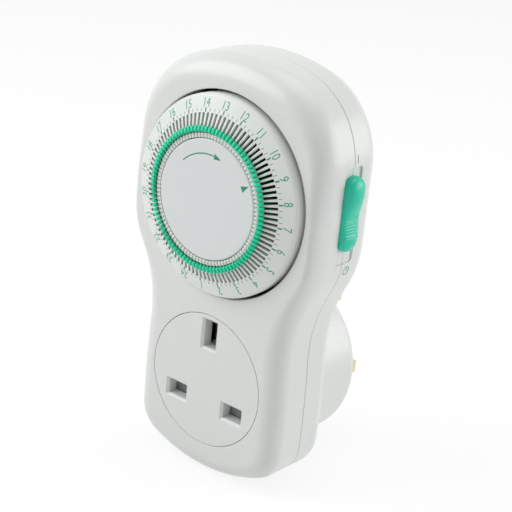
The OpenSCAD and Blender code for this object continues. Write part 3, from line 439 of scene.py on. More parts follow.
def front_shell():
    """The front cover as one closed skin: face, lips of the two round openings, sides, rim and inside."""
    points, faces = [], []
    ring0 = [Vector(p[:2]) for p in edge_ring(0, 0)]
    n = len(ring0)
    split = min(range(n // 2), key=lambda i: abs(ring0[i][1] - SPLIT_RISE))

    dial_middle, insert_middle = Vector((0, DIAL_RISE)), Vector((0, INSERT_RISE))

    def add_ring(ring, h_at):
        """Adds a ring of points (x, y), with their heights by y, and gives their indices."""
        start = len(points)
        points.extend((p[0], p[1], h_at(p[1])) for p in ring)
        return [start + i for i in range(len(ring))]

    def band(a, b):
        """Faces between two rings of indices."""
        m = len(a)
        faces.extend([a[i], a[(i + 1) % m], b[(i + 1) % m], b[i]] for i in range(m))

    def face_grid(drop, dial_rim, insert_rim):
        """The face from its outline to the openings: the rings of the outline, the pocket and the insert."""
        def level(y):
            return face_at(y) - drop

        edge = add_ring(ring0, level)
        x_line, y_line = ring0[split]
        line = add_ring([Vector((x_line - 2 * x_line * k / SPLIT_FACES, y_line))
                         for k in range(1, SPLIT_FACES)], level)
        upper = edge[:split + 1] + line + edge[n - split:]
        lower = edge[split:n - split + 1] + line[::-1]
        rims = []
        for loop, middle, radius in ((upper, dial_middle, dial_rim), (lower, insert_middle, insert_rim)):
            outer = loop
            for k in range(1, FACE_STEPS + 1):
                ring = []
                for j in loop:
                    b = Vector(points[j][:2])
                    c = middle + (b - middle).normalized() * radius
                    ring.append(b + (c - b) * k / FACE_STEPS)
                inner = add_ring(ring, level)
                band(outer, inner)
                outer = inner
            rims.append(outer)
        return edge, rims[0], rims[1]

    def opening(start, end, middle, profile):
        """Rings down an opening's lip and wall, from one face's rim to the other's."""
        outer = start
        for radius, h_of in profile:
            ring = [middle + (Vector(points[j][:2]) - middle).normalized() * radius for j in start]
            inner = add_ring(ring, h_of)
            band(outer, inner)
            outer = inner
        band(outer, end)

    def rounding(radius, lip):
        """The profile of a rounded lip from the face down to an opening's radius."""
        return [(radius + lip * (1 - math.sin(a)), lambda y, a=a: face_at(y) - lip * (1 - math.cos(a)))
                for a in quarter_turn(LIP_STEPS)[1:]]

    def follow(last, t, angles):
        """Rings over the rounded front edge drawn in by t."""
        for a in angles:
            points.extend(edge_ring(t, a))
            ring = list(range(len(points) - n, len(points)))
            band(last, ring)
            last = ring
        return last

    edge_out, dial_out, insert_out = face_grid(0.0, POCKET_R + LIP, INSERT_R + SEAM + INSERT_LIP)
    edge_in, dial_in, insert_in = face_grid(WALL, COLLAR_R, INSERT_R + SEAM)
    opening(dial_out, dial_in, dial_middle,
            rounding(POCKET_R, LIP) + [(POCKET_R, lambda y: COLLAR_FOOT), (COLLAR_R, lambda y: COLLAR_FOOT)])
    opening(insert_out, insert_in, insert_middle, rounding(INSERT_R + SEAM, INSERT_LIP))
    turns = quarter_turn(FRONT_STEPS)[1:]
    last = follow(edge_out, 0, turns)
    for t, h in ((0, PARTING + PARTING_EDGE), (PARTING_STEP, PARTING + PARTING_GAP),
                 (RIM_W, PARTING + PARTING_GAP), (RIM_W, PARTING), (WALL, PARTING)):
        ring = add_ring(outline(t), lambda y, h=h: h)
        band(last, ring)
        last = ring
    band(follow(last, WALL, turns[::-1]), edge_in)
    return build("front_shell", points, faces)


def rear_form(name, t, r, rim):
    """The rear cover's form drawn in by t, from a rim of (inset, height) to a back edge of the radius r."""
    back = [(t + r * (1 - math.cos(a)), SHELL_BACK + t + r * (1 - math.sin(a)))
            for a in quarter_turn(BACK_STEPS)]
    return loft(name, [[(p[0], p[1], h) for p in outline(inset)] for inset, h in rim + back])


# The slider's groove and the slot of its neck: past the side, below and above, beside it, and the corners
OUTSIDE, GROOVE_DEPTH, GROOVE_BELOW, GROOVE_ABOVE, GROOVE_GAP, GROOVE_CORNER = 2, 0.6, 4, 0.3, 0.1, 1.2
NECK_DEPTH, NECK_FROM, NECK_TO, NECK_HALF, NECK_CORNER = 4, 5.7, 14.3, 1.8, 0.8


def slider_cuts(shell):
    """Cuts the slider's groove and the slot of its neck out of a cover's side."""
    half = KNOB_W / 2 + GROOVE_GAP
    cut(shell, block("groove", [SIDE_X - GROOVE_DEPTH, SIDE_X + OUTSIDE],
                     [KNOB_RISE - GROOVE_BELOW, KNOB_RISE + KNOB_LEN + SLIDER_TRAVEL + GROOVE_ABOVE],
                     [PARTING - half, PARTING + half], GROOVE_CORNER))
    cut(shell, block("slot", [SIDE_X - NECK_DEPTH, SIDE_X + OUTSIDE],
                     [KNOB_RISE + NECK_FROM, KNOB_RISE + NECK_TO + SLIDER_TRAVEL],
                     [PARTING - NECK_HALF, PARTING + NECK_HALF], NECK_CORNER))


# Screw posts of the front, the insert and the rear, the peg that holds the plate, and the screws' pockets
POST_R, POST_BORE, REAR_POST_R, REAR_POST_BORE = 3.2, 1.45, 4.4, 1.6
POST_H, INSERT_POST_H = (33.1, 41.5), (20.1, 38.6)
REAR_POST_H, REAR_TIP_H, LOW_POST_H = (17.0, 28.4), (17.0, 31.4), (2.0, 20.0)
PEG_RISE, PEG_R, PEG_TIP_R, PEG_H, PEG_TIP_H = DIAL_RISE - DIAL_R - 3.2, 2.0, 1.0, (33.1, 41.6), (31.5, 34.0)
SCREWS = [(s * SCREW_X, SCREW_RISE) for s in (-1, 1)]
LOW_SCREWS = [(s * LOW_SCREW_X, LOW_SCREW_RISE) for s in (-1, 1)]
SCREW_POCKET_R, POCKET_END, LOW_POCKET_END = 2.8, SHELL_BACK + 4, 12
# The thickness of the boss's back, and how deep the boss goes into the rear cover
BOSS_WALL, BOSS_FRONT = 3, SHELL_BACK + REAR_EDGE + 1

front = front_shell()
slider_cuts(front)
front_posts = [tube("post", place, POST_R, POST_BORE, *POST_H) for place in SCREWS]
front_posts.append(bar("peg", (0, PEG_RISE), PEG_R, *PEG_H, PEG_SIDES))
front_posts.append(bar("peg_tip", (0, PEG_RISE), PEG_TIP_R, *PEG_TIP_H, PEG_SIDES))
front = join("front_shell", front, *front_posts)
wear(front, "housing", WHITE, ["front_cover"], smooth=40)

rear = rear_form("rear_shell", 0, REAR_EDGE, [
    (RIM_W, PARTING), (RIM_W, PARTING - PARTING_GAP), (PARTING_STEP, PARTING - PARTING_GAP),
    (0, PARTING - PARTING_EDGE)])
boss_profile = [(0, 0)] + [(BOSS_R - BOSS_EDGE + BOSS_EDGE * math.sin(a), BOSS_EDGE * (1 - math.cos(a)))
                           for a in quarter_turn(BOSS_STEPS)]
boss_profile += [(BOSS_R, BOSS_FRONT), (0, BOSS_FRONT)]
combine(rear, lathe("boss", boss_profile, (0, INSERT_RISE), FINE_SIDES, closed=False), "UNION")
cut(rear, rear_form("hollow", WALL, REAR_EDGE - WALL, [(WALL, PARTING + 1)]))
cut(rear, bar("boss_hollow", (0, INSERT_RISE), BOSS_R - WALL, BOSS_WALL, PARTING + 1, ROUND_SIDES))
for cx, cy, w, high in PINS:
    cut(rear, block("pin_hole", [cx - w / 2 - PIN_GAP, cx + w / 2 + PIN_GAP],
                    [cy - high / 2 - PIN_GAP, cy + high / 2 + PIN_GAP], [-1, 2 * BOSS_WALL]))
for place, low_place in zip(SCREWS, LOW_SCREWS):
    cut(rear, bar("screw_pocket", place, SCREW_POCKET_R, SHELL_BACK - 1, POCKET_END, TUBE_SIDES))
    cut(rear, bar("low_pocket", low_place, SCREW_POCKET_R, -1, LOW_POCKET_END, TUBE_SIDES))
slider_cuts(rear)
rear_posts = [tube("post", place, REAR_POST_R, REAR_POST_BORE, *REAR_POST_H) for place in SCREWS]
rear_posts += [tube("post_tip", place, POST_R, REAR_POST_BORE, *REAR_TIP_H) for place in SCREWS]
rear_posts += [tube("low_post", place, REAR_POST_R, REAR_POST_BORE, *LOW_POST_H) for place in LOW_SCREWS]
rear = join("rear_shell", rear, *rear_posts)
wear(rear, "housing", WHITE, ["rear_cover"], smooth=40)

# The socket insert: a flange behind the front cover, and a sloped lead-in round each aperture
FLANGE_R, FLANGE_FRONT, FINE_EDGE = INSERT_R + 1.6, 40.4, 0.06
APERTURE_R, APERTURE_SPREAD, CUT_PAST = 0.25, 0.3, 0.3
insert = lathe("socket_insert", [
    (0, INSERT_BACK), (FLANGE_R, INSERT_BACK), (FLANGE_R, FLANGE_FRONT), (INSERT_R, FLANGE_FRONT),
    (INSERT_R, SOCKET_FACE - INSERT_LIP), (INSERT_R - FINE_EDGE, SOCKET_FACE - FINE_EDGE),
    (INSERT_R - INSERT_LIP, SOCKET_FACE), (0, SOCKET_FACE)], (0, INSERT_RISE), FINE_SIDES, closed=False)


def aperture(cx, cy, w, h):
    """A funnel-shaped cutter with rounded corners, from wide at the face to w by h behind the lead-in."""
    rings = []
    foot = SOCKET_FACE - LEAD_IN
    for grow, depth in ((LEAD_IN + CUT_PAST, SOCKET_FACE + CUT_PAST), (LEAD_IN, SOCKET_FACE),
                        (0.12, foot + FINE_EDGE), (0, foot - 0.1), (0, INSERT_BACK - 1)):
        r = APERTURE_R + APERTURE_SPREAD * grow
        a, b = w / 2 + grow, h / 2 + grow
        ring = []
        for sx, sy, start in ((1, 1, 0), (-1, 1, 90), (-1, -1, 180), (1, -1, 270)):
            ring += [(cx + sx * (a - r) + d[0], cy + sy * (b - r) + d[1], depth)
                     for d in [polar(r, start + 90 * k / 4) for k in range(5)]]
        rings.append(ring)
    return skin("aperture", rings)


for cx, cy, w, high in PINS:
    cut(insert, aperture(cx, cy, w + 2 * APERTURE_GAP, high + 2 * APERTURE_GAP))
# Behind it, the rails that guide the shutter, the posts of the low screws, and the stop of the spring
RAIL_X, RAIL_IN, RAIL_FOOT_IN = 17.6, 16.4, 15.2
RAIL_Y, RAIL_H, RAIL_FOOT_H = [-10, 5], [36.0, 38.6], [36.0, 36.7]
STOP_X, STOP_LOW, SPRING_STOP, STOP_H = 3, -15, -13.4, [34.4, 38.6]
behind = [block("rail", sorted([s * RAIL_IN, s * RAIL_X]), RAIL_Y, RAIL_H) for s in (-1, 1)]
behind += [block("rail_foot", sorted([s * RAIL_FOOT_IN, s * RAIL_X]), RAIL_Y, RAIL_FOOT_H) for s in (-1, 1)]
behind += [tube("insert_post", place, POST_R, POST_BORE, *INSERT_POST_H) for place in LOW_SCREWS]
behind.append(block("spring_stop", [-STOP_X, STOP_X], [STOP_LOW, SPRING_STOP], STOP_H))
insert = join("socket_insert", insert, *behind)
wear(insert, "housing", WHITE, ["socket_plate"], smooth=30)


# ---- Dial ----

def dial_at(r):
    """Height of the dial's conical face at a radius."""
    return DIAL_FACE + DIAL_SLOPE * (SLOT_OUT - r)


# The rounded rim: its middle, where it begins, and its middle's height
SLOPE_ANGLE = math.atan(DIAL_SLOPE)
RIM_MID = DIAL_R - DIAL_EDGE
RIM_FROM = RIM_MID + DIAL_EDGE * math.sin(SLOPE_ANGLE)
RIM_RISE = dial_at(RIM_FROM) - DIAL_EDGE * math.cos(SLOPE_ANGLE)
# Where the dial's ribs end, a row of points inside the slots, and the edge of the skirt
RIB_END, SLOT_MID, SKIRT_EDGE, RIM_STEPS = 26.4, 22.0, 0.25, 8
# The comb between the disc and the slots: its face, the ring's foot, and its groove and ledge
RING_FACE, RING_FOOT, COMB_FOOT, COMB_LEDGE = dial_at(RING_OUT), 41.9, 48.3, 48.95
COMB_RADII = (18.25, 18.3, 18.75, 18.8, 18.97)


def dial_height(r):
    """Height of the dial's face at a radius, over its rounded rim too."""
    if r <= RIM_FROM:
        return dial_at(r)
    return RIM_RISE + math.sqrt(max(0.0, DIAL_EDGE ** 2 - (r - RIM_MID) ** 2))


def dial_body():
    """The dial with its 96 slots cut through, as one closed skin of rings round its axis."""
    turns = [(math.pi / 2 - SLOPE_ANGLE) * (1 - k / RIM_STEPS) for k in range(RIM_STEPS + 1)]
    rim = [(RIM_MID + DIAL_EDGE * math.cos(a), RIM_RISE + DIAL_EDGE * math.sin(a)) for a in turns]
    face = [(r, dial_at(r)) for r in (SLOT_IN, SLOT_MID, SLOT_OUT, RIB_END)]
    back = [(r, dial_at(r) - DIAL_T) for r in (SKIRT_R, RIB_END, SLOT_OUT, SLOT_MID, SLOT_IN, RING_OUT)]
    heights = (COMB_FOOT, COMB_LEDGE, COMB_LEDGE, COMB_FOOT, COMB_FOOT)
    comb = [(RING_IN, COMB_FOOT)] + list(zip(COMB_RADII, heights))
    comb += [(RING_OUT, RING_FACE - FINE_EDGE), (RING_OUT + FINE_EDGE, dial_at(RING_OUT + FINE_EDGE))]
    foot = [(DIAL_R, SKIRT_FOOT + SKIRT_EDGE), (DIAL_R - SKIRT_EDGE, SKIRT_FOOT), (SKIRT_R, SKIRT_FOOT)]
    loop = comb + face + rim + foot + back + [(RING_OUT, RING_FOOT), (RING_IN, RING_FOOT)]
    n = len(loop)
    points, faces = [], []
    for i in range(SLOTS):
        mid = ZERO_ANGLE + (i + 0.5) * PITCH
        # The two sides of a slot, and the middle of the rib after it
        for side in (-1, 1, None):
            for r, h in loop:
                a = mid + PITCH / 2
                if side:
                    a = mid + side * math.degrees(math.asin(SLOT_W / 2 / min(SLOT_OUT, max(SLOT_IN, r))))
                p = polar(r, a)
                points.append((p[0], p[1] + DIAL_RISE, h))
    cols = 3 * SLOTS
    top = [loop.index(face[k]) for k in (0, 1, 2)]
    under = [loop.index(back[k]) for k in (4, 3, 2)]
    for c in range(cols):
        d = (c + 1) % cols
        slot = c % 3 == 0
        for k in range(n):
            j = (k + 1) % n
            if slot and (k in top[:2] or k in (under[2], under[1])):
                continue
            faces.append([c * n + k, c * n + j, d * n + j, d * n + k])
        if slot:
            for e in (c, d):
                faces += [[e * n + top[0], e * n + top[1], e * n + under[1], e * n + under[0]],
                          [e * n + top[1], e * n + top[2], e * n + under[2], e * n + under[1]]]
            for t, u in ((top[0], under[0]), (top[2], under[2])):
                faces.append([c * n + t, d * n + t, d * n + u, c * n + u])
    return build("dial_body", points, faces)


def pebble(u, w, h, r, segments, whole=False):
    """Points and faces of a box with rounded edges, all or at its top: u along a radius, w across, h out."""
    bm = bmesh.new()
    bmesh.ops.create_cube(bm, size=1)
    for v in bm.verts:
        v.co = Vector((u[0] + (v.co.x + 0.5) * (u[1] - u[0]), w * v.co.y,
                       h[0] + (v.co.z + 0.5) * (h[1] - h[0])))
    edges = [e for e in bm.edges if whole or max(v.co.z for v in e.verts) > h[1] - 1e-6]
    bmesh.ops.bevel(bm, geom=edges, offset=r, segments=segments, profile=0.5, affect="EDGES")
    points = [tuple(v.co) for v in bm.verts]
    faces = [[v.index for v in f.verts] for f in bm.faces]
    bm.free()
    return points, faces


def plate(outline_points, w):
    """Points and faces of a flat piece, w thick, of (u, h) points."""
    points = [(u, s * w / 2, h) for s in (-1, 1) for u, h in outline_points]
    return points, prism(len(outline_points))


def turned(shapes, angles):
    """Copies of shapes at angles round the dial's centre, as points and faces for build()."""
    points, faces = [], []
    for a in angles:
        out, across = polar(1, a), polar(1, a + 90)
        for shape_points, shape_faces in shapes:
            start = len(points)
            points += [(out[0] * u + across[0] * w, out[1] * u + across[1] * w + DIAL_RISE, h)
                       for u, w, h in shape_points]
            faces += [[start + i for i in f] for f in shape_faces]
    return points, faces


# The hub inside the dial, and the small teeth of the comb
BORE_R, HUB_R, HUB_FOOT, HUB_FRONT, WEB_R, WEB_FRONT = 8.05, 11, 37.6, 45.5, RING_IN + 0.05, 43.9
TOOTH_W, TOOTH_FOOT, TOOTH_EDGE, TOOTH_GAP = 0.88, 48.2, 0.14, 0.02
hub = lathe("hub", [
    (BORE_R, HUB_FOOT), (HUB_R, HUB_FOOT), (HUB_R, RING_FOOT), (WEB_R, RING_FOOT), (WEB_R, WEB_FRONT),
    (HUB_R, WEB_FRONT), (HUB_R, HUB_FRONT), (BORE_R, HUB_FRONT)], (0, DIAL_RISE))
tooth = pebble((RING_IN + TOOTH_GAP, RING_OUT - TOOTH_GAP), TOOTH_W, (TOOTH_FOOT, RING_FACE), TOOTH_EDGE, 2)
teeth = build("teeth", *turned([tooth], [ZERO_ANGLE + k * PITCH for k in range(SLOTS)]))
dial = join("dial_face", dial_body(), hub, teeth)
wear(dial, "dial", DIAL_WHITE, ["dial"], smooth=32)

# A tappet: a rounded head that lies along the dial's slope, and a flat stem with a foot and two hooks
HEAD_IN, HEAD_LEN, HEAD_W, HEAD_T, HEAD_EDGE, HEAD_GAP = 19.5, 1.8, 1.05, 1.2, 0.36, 0.1
HOOK_FRONT = dial_at(DIAL_R - 2) - DIAL_T - 0.2
STEM_T, STEM_OUT, STEM_FRONT = 0.7, 20.2, 49.46
FOOT_IN, FOOT_OUT, FOOT_BACK, FOOT_FRONT, HOOK_IN = 19.3, 25.2, 42.1, 43.5, 24.9
SHOULDER_OUT, SHOULDER_FRONT = 21.8, 46.8
head_points, HEAD_FACES = pebble((0, HEAD_LEN), HEAD_W, (0, HEAD_T), HEAD_EDGE, 4, whole=True)
HEAD = ([(HEAD_IN + u * math.cos(SLOPE_ANGLE) + v * math.sin(SLOPE_ANGLE), w,
          dial_at(HEAD_IN) + HEAD_GAP - u * math.sin(SLOPE_ANGLE) + v * math.cos(SLOPE_ANGLE))
         for u, w, v in head_points], HEAD_FACES)
FOOT = plate([
    (FOOT_IN, FOOT_BACK), (FOOT_OUT, FOOT_BACK), (FOOT_OUT, HOOK_FRONT), (HOOK_IN, HOOK_FRONT),
    (HOOK_IN, FOOT_FRONT), (SHOULDER_OUT, FOOT_FRONT), (SHOULDER_OUT, SHOULDER_FRONT),
    (STEM_OUT, SHOULDER_FRONT), (STEM_OUT, STEM_FRONT), (HEAD_IN, STEM_FRONT), (HEAD_IN, HOOK_FRONT),
    (FOOT_IN, HOOK_FRONT)], STEM_T)


def tappets(name, body, node, indices):
    """Tappets in the slots with these indices, with bright heads, and stems and feet in a darker green as
    painted shade of the slots.
    """
    piece = build(name, *turned([HEAD, FOOT], [ZERO_ANGLE + (i + 0.5) * PITCH for i in indices]))
    wear(piece, body, GREEN, [node], smooth=50, weighted=False)
    # Stems and feet get the darker green: painted shade in the slots
    piece.data.materials.append(PAINTED_SHADE_GREEN)
    heads = len(HEAD[1])
    for p in piece.data.polygons:
        p.material_index = 1 if p.index % (heads + len(FOOT[1])) >= heads else 0


for hour in range(1, 25):
    node = "tappet_%02d" % hour
    tappets("timer_" + node, node, node, [hour % 24 * 4])
for quarter in (2, 3, 4):
    node = "tappets_quarter_%d" % quarter
    tappets("timer_" + node, "dial", node, [h * 4 + quarter - 1 for h in range(24)])

# Printed scale: a tick at each rib, a heavy one at each hour, and the numbers with their tops outward
INK, DIAL_INK_GAP = 0.012, 0.002
TICK_TURN, HOUR_TICK, TICK = 0.6, (24.95, 26.2, 0.44), (25.05, 26.0, 0.17)
NUMBER_TURN, NUMBER_R, NUMBER_H, NUMBER_NARROW = 1.0, 27.65, 2.5, 0.8
# A number's curves, and the edges that are split so that it bends with the dial
NUMBER_CURVE, NUMBER_EDGE, NUMBER_SPLITS = 5, 0.16, 4


def ink(name, body, loops, place, gap):
    """Thin ink of loops of points, which place(a, b, lift) puts over a surface, with a gap under it."""
    points, faces = [], []
    for loop in loops:
        faces += prism(len(loop), len(points))
        for lift in (gap, gap + INK):
            points += [place(a, b, lift) for a, b in loop]
    wear(build(name, points, faces), body, PRINT, smooth=30, weighted=False)


def on_dial(x, y, lift):
    """A place over the dial's face, given about its centre."""
    return x, y + DIAL_RISE, dial_height(math.hypot(x, y)) + lift


ticks = []
for k in range(SLOTS):
    turn = ZERO_ANGLE + k * PITCH + TICK_TURN
    out, across = polar(1, turn), polar(1, turn + 90)
    r0, r1, w = HOUR_TICK if k % 4 == 0 else TICK
    corners = ((r0, -w / 2), (r1, -w / 2), (r1, w / 2), (r0, w / 2))
    ticks.append([tuple(out * r + across * side) for r, side in corners])
ink("dial_ticks", "dial", ticks, on_dial, DIAL_INK_GAP)


def numeral(text, angle):
    """Points and faces of a number that stands on its circle with its top outward."""
    curve = bpy.data.curves.new("numeral", "FONT")
    curve.body, curve.size, curve.resolution_u = text, 1.0, NUMBER_CURVE
    curve.align_x, curve.align_y = "CENTER", "CENTER"
    obj = link("numeral", curve)
    bm = bmesh.new()
    bm.from_mesh(obj.to_mesh())
    bpy.data.curves.remove(curve)
    bmesh.ops.remove_doubles(bm, verts=bm.verts, dist=1e-5)
    for _ in range(NUMBER_SPLITS):
        bmesh.ops.triangulate(bm, faces=bm.faces)
        long = [e for e in bm.edges if e.calc_length() > NUMBER_EDGE]
        bmesh.ops.subdivide_edges(bm, edges=long, cuts=1)
    bmesh.ops.triangulate(bm, faces=bm.faces)
    ys = [v.co.y for v in bm.verts]
    scale, mid = NUMBER_H / (max(ys) - min(ys)), (max(ys) + min(ys)) / 2
    out, right = polar(1, angle), polar(1, angle - 90)
    points = []
    for v in bm.verts:
        p = out * (NUMBER_R + (v.co.y - mid) * scale) + right * v.co.x * scale * NUMBER_NARROW
        points.append((p[0], p[1] + DIAL_RISE, dial_height(p.length) + 2 * INK))
    bm.verts.index_update()
    faces = [[v.index for v in f.verts] for f in bm.faces]
    bm.free()
    return points, faces


points, faces = [], []
for hour in range(1, 25):
    number_points, number_faces = numeral(str(hour), ZERO_ANGLE + hour * 15 + NUMBER_TURN)
    faces += [[len(points) + i for i in f] for f in number_faces]
    points += number_points
mesh = bpy.data.meshes.new("dial_numbers")
mesh.from_pydata([at(*p) for p in points], [], faces)
numbers = link("dial_numbers", mesh)
wear(numbers, "dial", NUMBER, smooth=30, weighted=False)

# Fixed disc in the middle, with a rounded edge, a rim behind it, and its boss and axle
CAP_RINGS, CAP_EDGE, CAP_BACK, CAP_RIM_IN, CAP_BOSS_BACK = (0, 8, 14), 0.5, CAP_FACE - 1.4, 9.6, 45.8
AXLE_R, AXLE_END = 2.95, 33.1
disc_edge = [(CAP_R - CAP_EDGE + CAP_EDGE * math.sin(a), CAP_FACE - CAP_EDGE + CAP_EDGE * math.cos(a))
             for a in quarter_turn(DISC_STEPS)]
disc = lathe("centre_disc", [(r, CAP_FACE) for r in CAP_RINGS] + disc_edge + [
    (CAP_R, CAP_BACK), (CAP_RIM_IN, CAP_BACK), (CAP_RIM_IN, CAP_BOSS_BACK), (AXLE_R, CAP_BOSS_BACK),
    (AXLE_R, AXLE_END), (0, AXLE_END)], (0, DIAL_RISE), FINE_SIDES, closed=False)
wear(disc, "housing", CAP_WHITE, ["centre_cap"])


def on_disc(x, y, lift):
    """A place over the fixed disc, given about its centre."""
    return x, y + DIAL_RISE, CAP_FACE + lift


def on_side(h, y, lift):
    """A place over the housing's right side."""
    return half_width(y) + lift, y, h


def arc_quads(cx, cy, r, w, a, b, steps):
    """A curved line of width w as short pieces."""
    made = []
    for k in range(steps):
        a0, a1 = a + (b - a) * k / steps, a + (b - a) * (k + 1) / steps
        made.append([tuple(Vector((cx, cy)) + polar(rr, aa))
                     for rr, aa in ((r - w / 2, a0), (r + w / 2, a0), (r + w / 2, a1), (r - w / 2, a1))])
    return made


def box_quad(x, y, w, h):
    """A rectangle from its lowest left corner."""
    return [(x, y), (x + w, y), (x + w, y + h), (x, y + h)]


# The arrow over the disc's middle, and the pointer at its right, in radii and angles
INK_GAP, ARROW_R, ARROW_LINE, ARROW_FROM, ARROW_TO, ARROW_STEPS = 0.003, 13.5, 0.36, 136, 80, 20
arrow = arc_quads(0, 0, ARROW_R, ARROW_LINE, ARROW_FROM, ARROW_TO, ARROW_STEPS)
arrow.append([tuple(polar(r, a)) for r, a in ((ARROW_R, 71), (14.45, 83), (13.55, 81), (12.6, 83))])
pointer = [[tuple(polar(r, a)) for r, a in ((17.25, 28.2), (14.4, 31.4), (14.4, 23.9))]]
ink("disc_arrow", "housing", arrow, on_disc, INK_GAP)
ink("disc_pointer", "housing", pointer, on_disc, INK_GAP)


# ---- Override slider ----

# The knob from its low end (0) to its high end (1): its share of the full height at the low end, where it
# rises to the full height, and a dip for the thumb
LOW_SHARE, RISE_FROM, RISE_OVER, DIP, DIP_AT, DIP_OVER, END_POWER = 0.72, 0.45, 0.35, 0.26, 0.42, 0.17, 8
# Its rows of points and the steps across each, the share left out at its ends, and its least height and width
KNOB_ROWS, KNOB_SIDES, KNOB_SKIP, KNOB_MIN, HALF_MIN = 150, 28, 0.002, 0.4, 0.0004
# Its section: the straight foot, how far the round is sunk, and how full it is; and the ribs of its grip
SECTION_FOOT, SECTION_SINK, SECTION_POWER = 0.6, 0.1, 0.62
GRIP_FROM, GRIP_TO, RIB_AT, RIB_PITCH, RIB_H, RIB_EDGE, RIB_FADE = 61.0, 68.0, 61.45, 0.87, 0.22, 0.35, 3


def knob_height(s):
    """How far the knob stands out, at a share s of its length."""
    base = KNOB_OUT * math.sqrt(max(0.0, 1 - (2 * s - 1) ** END_POWER))
    dip = DIP * math.exp(-((s - DIP_AT) / DIP_OVER) ** 2)
    return base * (LOW_SHARE + (1 - LOW_SHARE) * smooth_step((s - RISE_FROM) / RISE_OVER) - dip)


def knob_half(s):
    """Half the knob's width, which ends in a half circle, at a share s of its length."""
    e = KNOB_W / 2 / KNOB_LEN
    d = max(0.0, e - min(s, 1 - s)) / e
    return KNOB_W / 2 * math.sqrt(max(HALF_MIN, 1 - d * d))


def knob():
    """The knob as one skin of half rings, close together at its ends."""
    rings = []
    for k in range(KNOB_ROWS + 1):
        s = 0.5 - 0.5 * math.cos(math.pi * (KNOB_SKIP + (1 - 2 * KNOB_SKIP) * k / KNOB_ROWS))
        y = KNOB_RISE + KNOB_LEN * s
        w, h = knob_half(s), max(KNOB_MIN, knob_height(s))
        grip = 0.0
        if GRIP_FROM < y < GRIP_TO:
            grip = RIB_H * max(0.0, math.cos((y - RIB_AT) / RIB_PITCH * 2 * math.pi)) ** 2
        ring = []
        for i in range(KNOB_SIDES + 1):
            a = math.pi * i / KNOB_SIDES
            rise = 0.0
            if 0 < i < KNOB_SIDES:
                rise = SECTION_FOOT + (h - SECTION_SINK) * math.sin(a) ** SECTION_POWER
            edge = max(0.0, math.sin(a) - RIB_EDGE) / (1 - RIB_EDGE)
            ring.append((KNOB_FOOT + rise + grip * min(1.0, edge * RIB_FADE), y, PARTING + w * math.cos(a)))
        rings.append(ring)
    return skin("slider_knob", rings)


NECK_X, NECK_Y, NECK_T, NECK_EDGE = [30.9, 36.0], [63.0, 71.0], 3.0, 0.4
neck = block("neck", NECK_X, NECK_Y, [PARTING - NECK_T / 2, PARTING + NECK_T / 2], NECK_EDGE)
slider = join("slider_knob", knob(), neck)
wear(slider, "override", KNOB, ["override_slider"], smooth=45, weighted=False)

# The two marks beside the slider: a bar for always on above it, in steps that follow the side, and a clock
BAR_H, BAR_RISE, BAR_HALF, BAR_STEP, BAR_STEPS = 27.1, 82.9, 0.17, 0.23, 10
CLOCK_H, CLOCK_RISE, CLOCK_R, CLOCK_LINE, CLOCK_STEPS = 25.8, 50.3, 1.25, 0.26, 24
HAND_W, LONG_HAND, SHORT_HAND = 0.24, 0.9, 0.7
bar_mark = [box_quad(BAR_H - BAR_HALF, BAR_RISE + BAR_STEP * k, 2 * BAR_HALF, BAR_STEP)
            for k in range(BAR_STEPS)]
ink("mark_on", "housing", bar_mark, on_side, INK_GAP)
clock = arc_quads(CLOCK_H, CLOCK_RISE, CLOCK_R, CLOCK_LINE, 0, 360, CLOCK_STEPS)
clock.append(box_quad(CLOCK_H - HAND_W / 2, CLOCK_RISE, HAND_W, LONG_HAND))
clock.append(box_quad(CLOCK_H - SHORT_HAND, CLOCK_RISE - HAND_W / 2, SHORT_HAND, HAND_W))
ink("mark_clock", "housing", clock, on_side, INK_GAP)

# ---- Shutter spring: a coil from the shutter down to its stop, drawn at one length, though the real one is pressed together as the shutter goes down ----

SPRING_TOP, SPRING_H, SPRING_R, SPRING_WIRE, SPRING_TURNS = -4.4, 36.1, 1.3, 0.2, 5
COIL_STEPS, COIL_SIDES = 24, 8


def coil():
    """A wire wound round the line from the shutter down to the stop."""
    steps = SPRING_TURNS * COIL_STEPS
    length = SPRING_TOP - SPRING_STOP - 2 * SPRING_WIRE
    rings = []
    for i in range(steps + 1):
        out = polar(1, 360 * i / COIL_STEPS)
        y = SPRING_TOP - SPRING_WIRE - length * i / steps
        ring = []
        for k in range(COIL_SIDES):
            d = polar(SPRING_WIRE, 360 * k / COIL_SIDES)
            r = SPRING_R + d[0]
            ring.append((out[0] * r, y + d[1], SPRING_H + out[1] * r))
        rings.append(ring)
    return skin("shutter_coil", rings)


spring = coil()
wear(spring, "shutter", STEEL, ["shutter_spring"], smooth=60, weighted=False)
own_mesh(spring)

# ---- Pieces whose CAD shape stays ----

# Each one's material, and how much its edges are rounded
KEPT = {
    "cover_screws": (STEEL, 0.12), "mechanism_plate": (NYLON, 0.15), "live_pin": (BRASS, 0.25),
    "neutral_pin": (BRASS, 0.25), "earth_pin": (BRASS, 0.3), "pin_sleeves": (SLEEVE, 0.0),
    "live_contact": (BRASS, 0.06), "neutral_contact": (BRASS, 0.06), "earth_contact": (BRASS, 0.06),
    "live_wires": (BROWN, 0.0), "motor_leads": (BLUE, 0.0), "motor_can": (STEEL, 0.2),
    "motor_coil": (WINDING, 0.3), "motor_rotor": (MAGNET, 0.2), "output_pinion": (BRASS, 0.0),
    "clutch_axle": (STEEL, 0.1), "clutch_wheel": (NYLON, 0.0), "clutch_pinion": (GREEN, 0.0),
    "clutch_spring": (STEEL, 0.0), "dial_gear": (BLACK, 0.0), "trip_lever": (GREEN, 0.0),
    "switch_body": (BLACK, 0.25), "switch_plunger": (RED, 0.1), "switch_terminals": (BRASS, 0.06),
    "override_cam": (NYLON, 0.1), "shutter": (GREY, 0.12),
}
for name, (mat, edge) in KEPT.items():
    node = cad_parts[name]
    for holder in node.material_slots:
        holder.link = "OBJECT"
        holder.material = mat
    if edge:
        soften(node, edge)

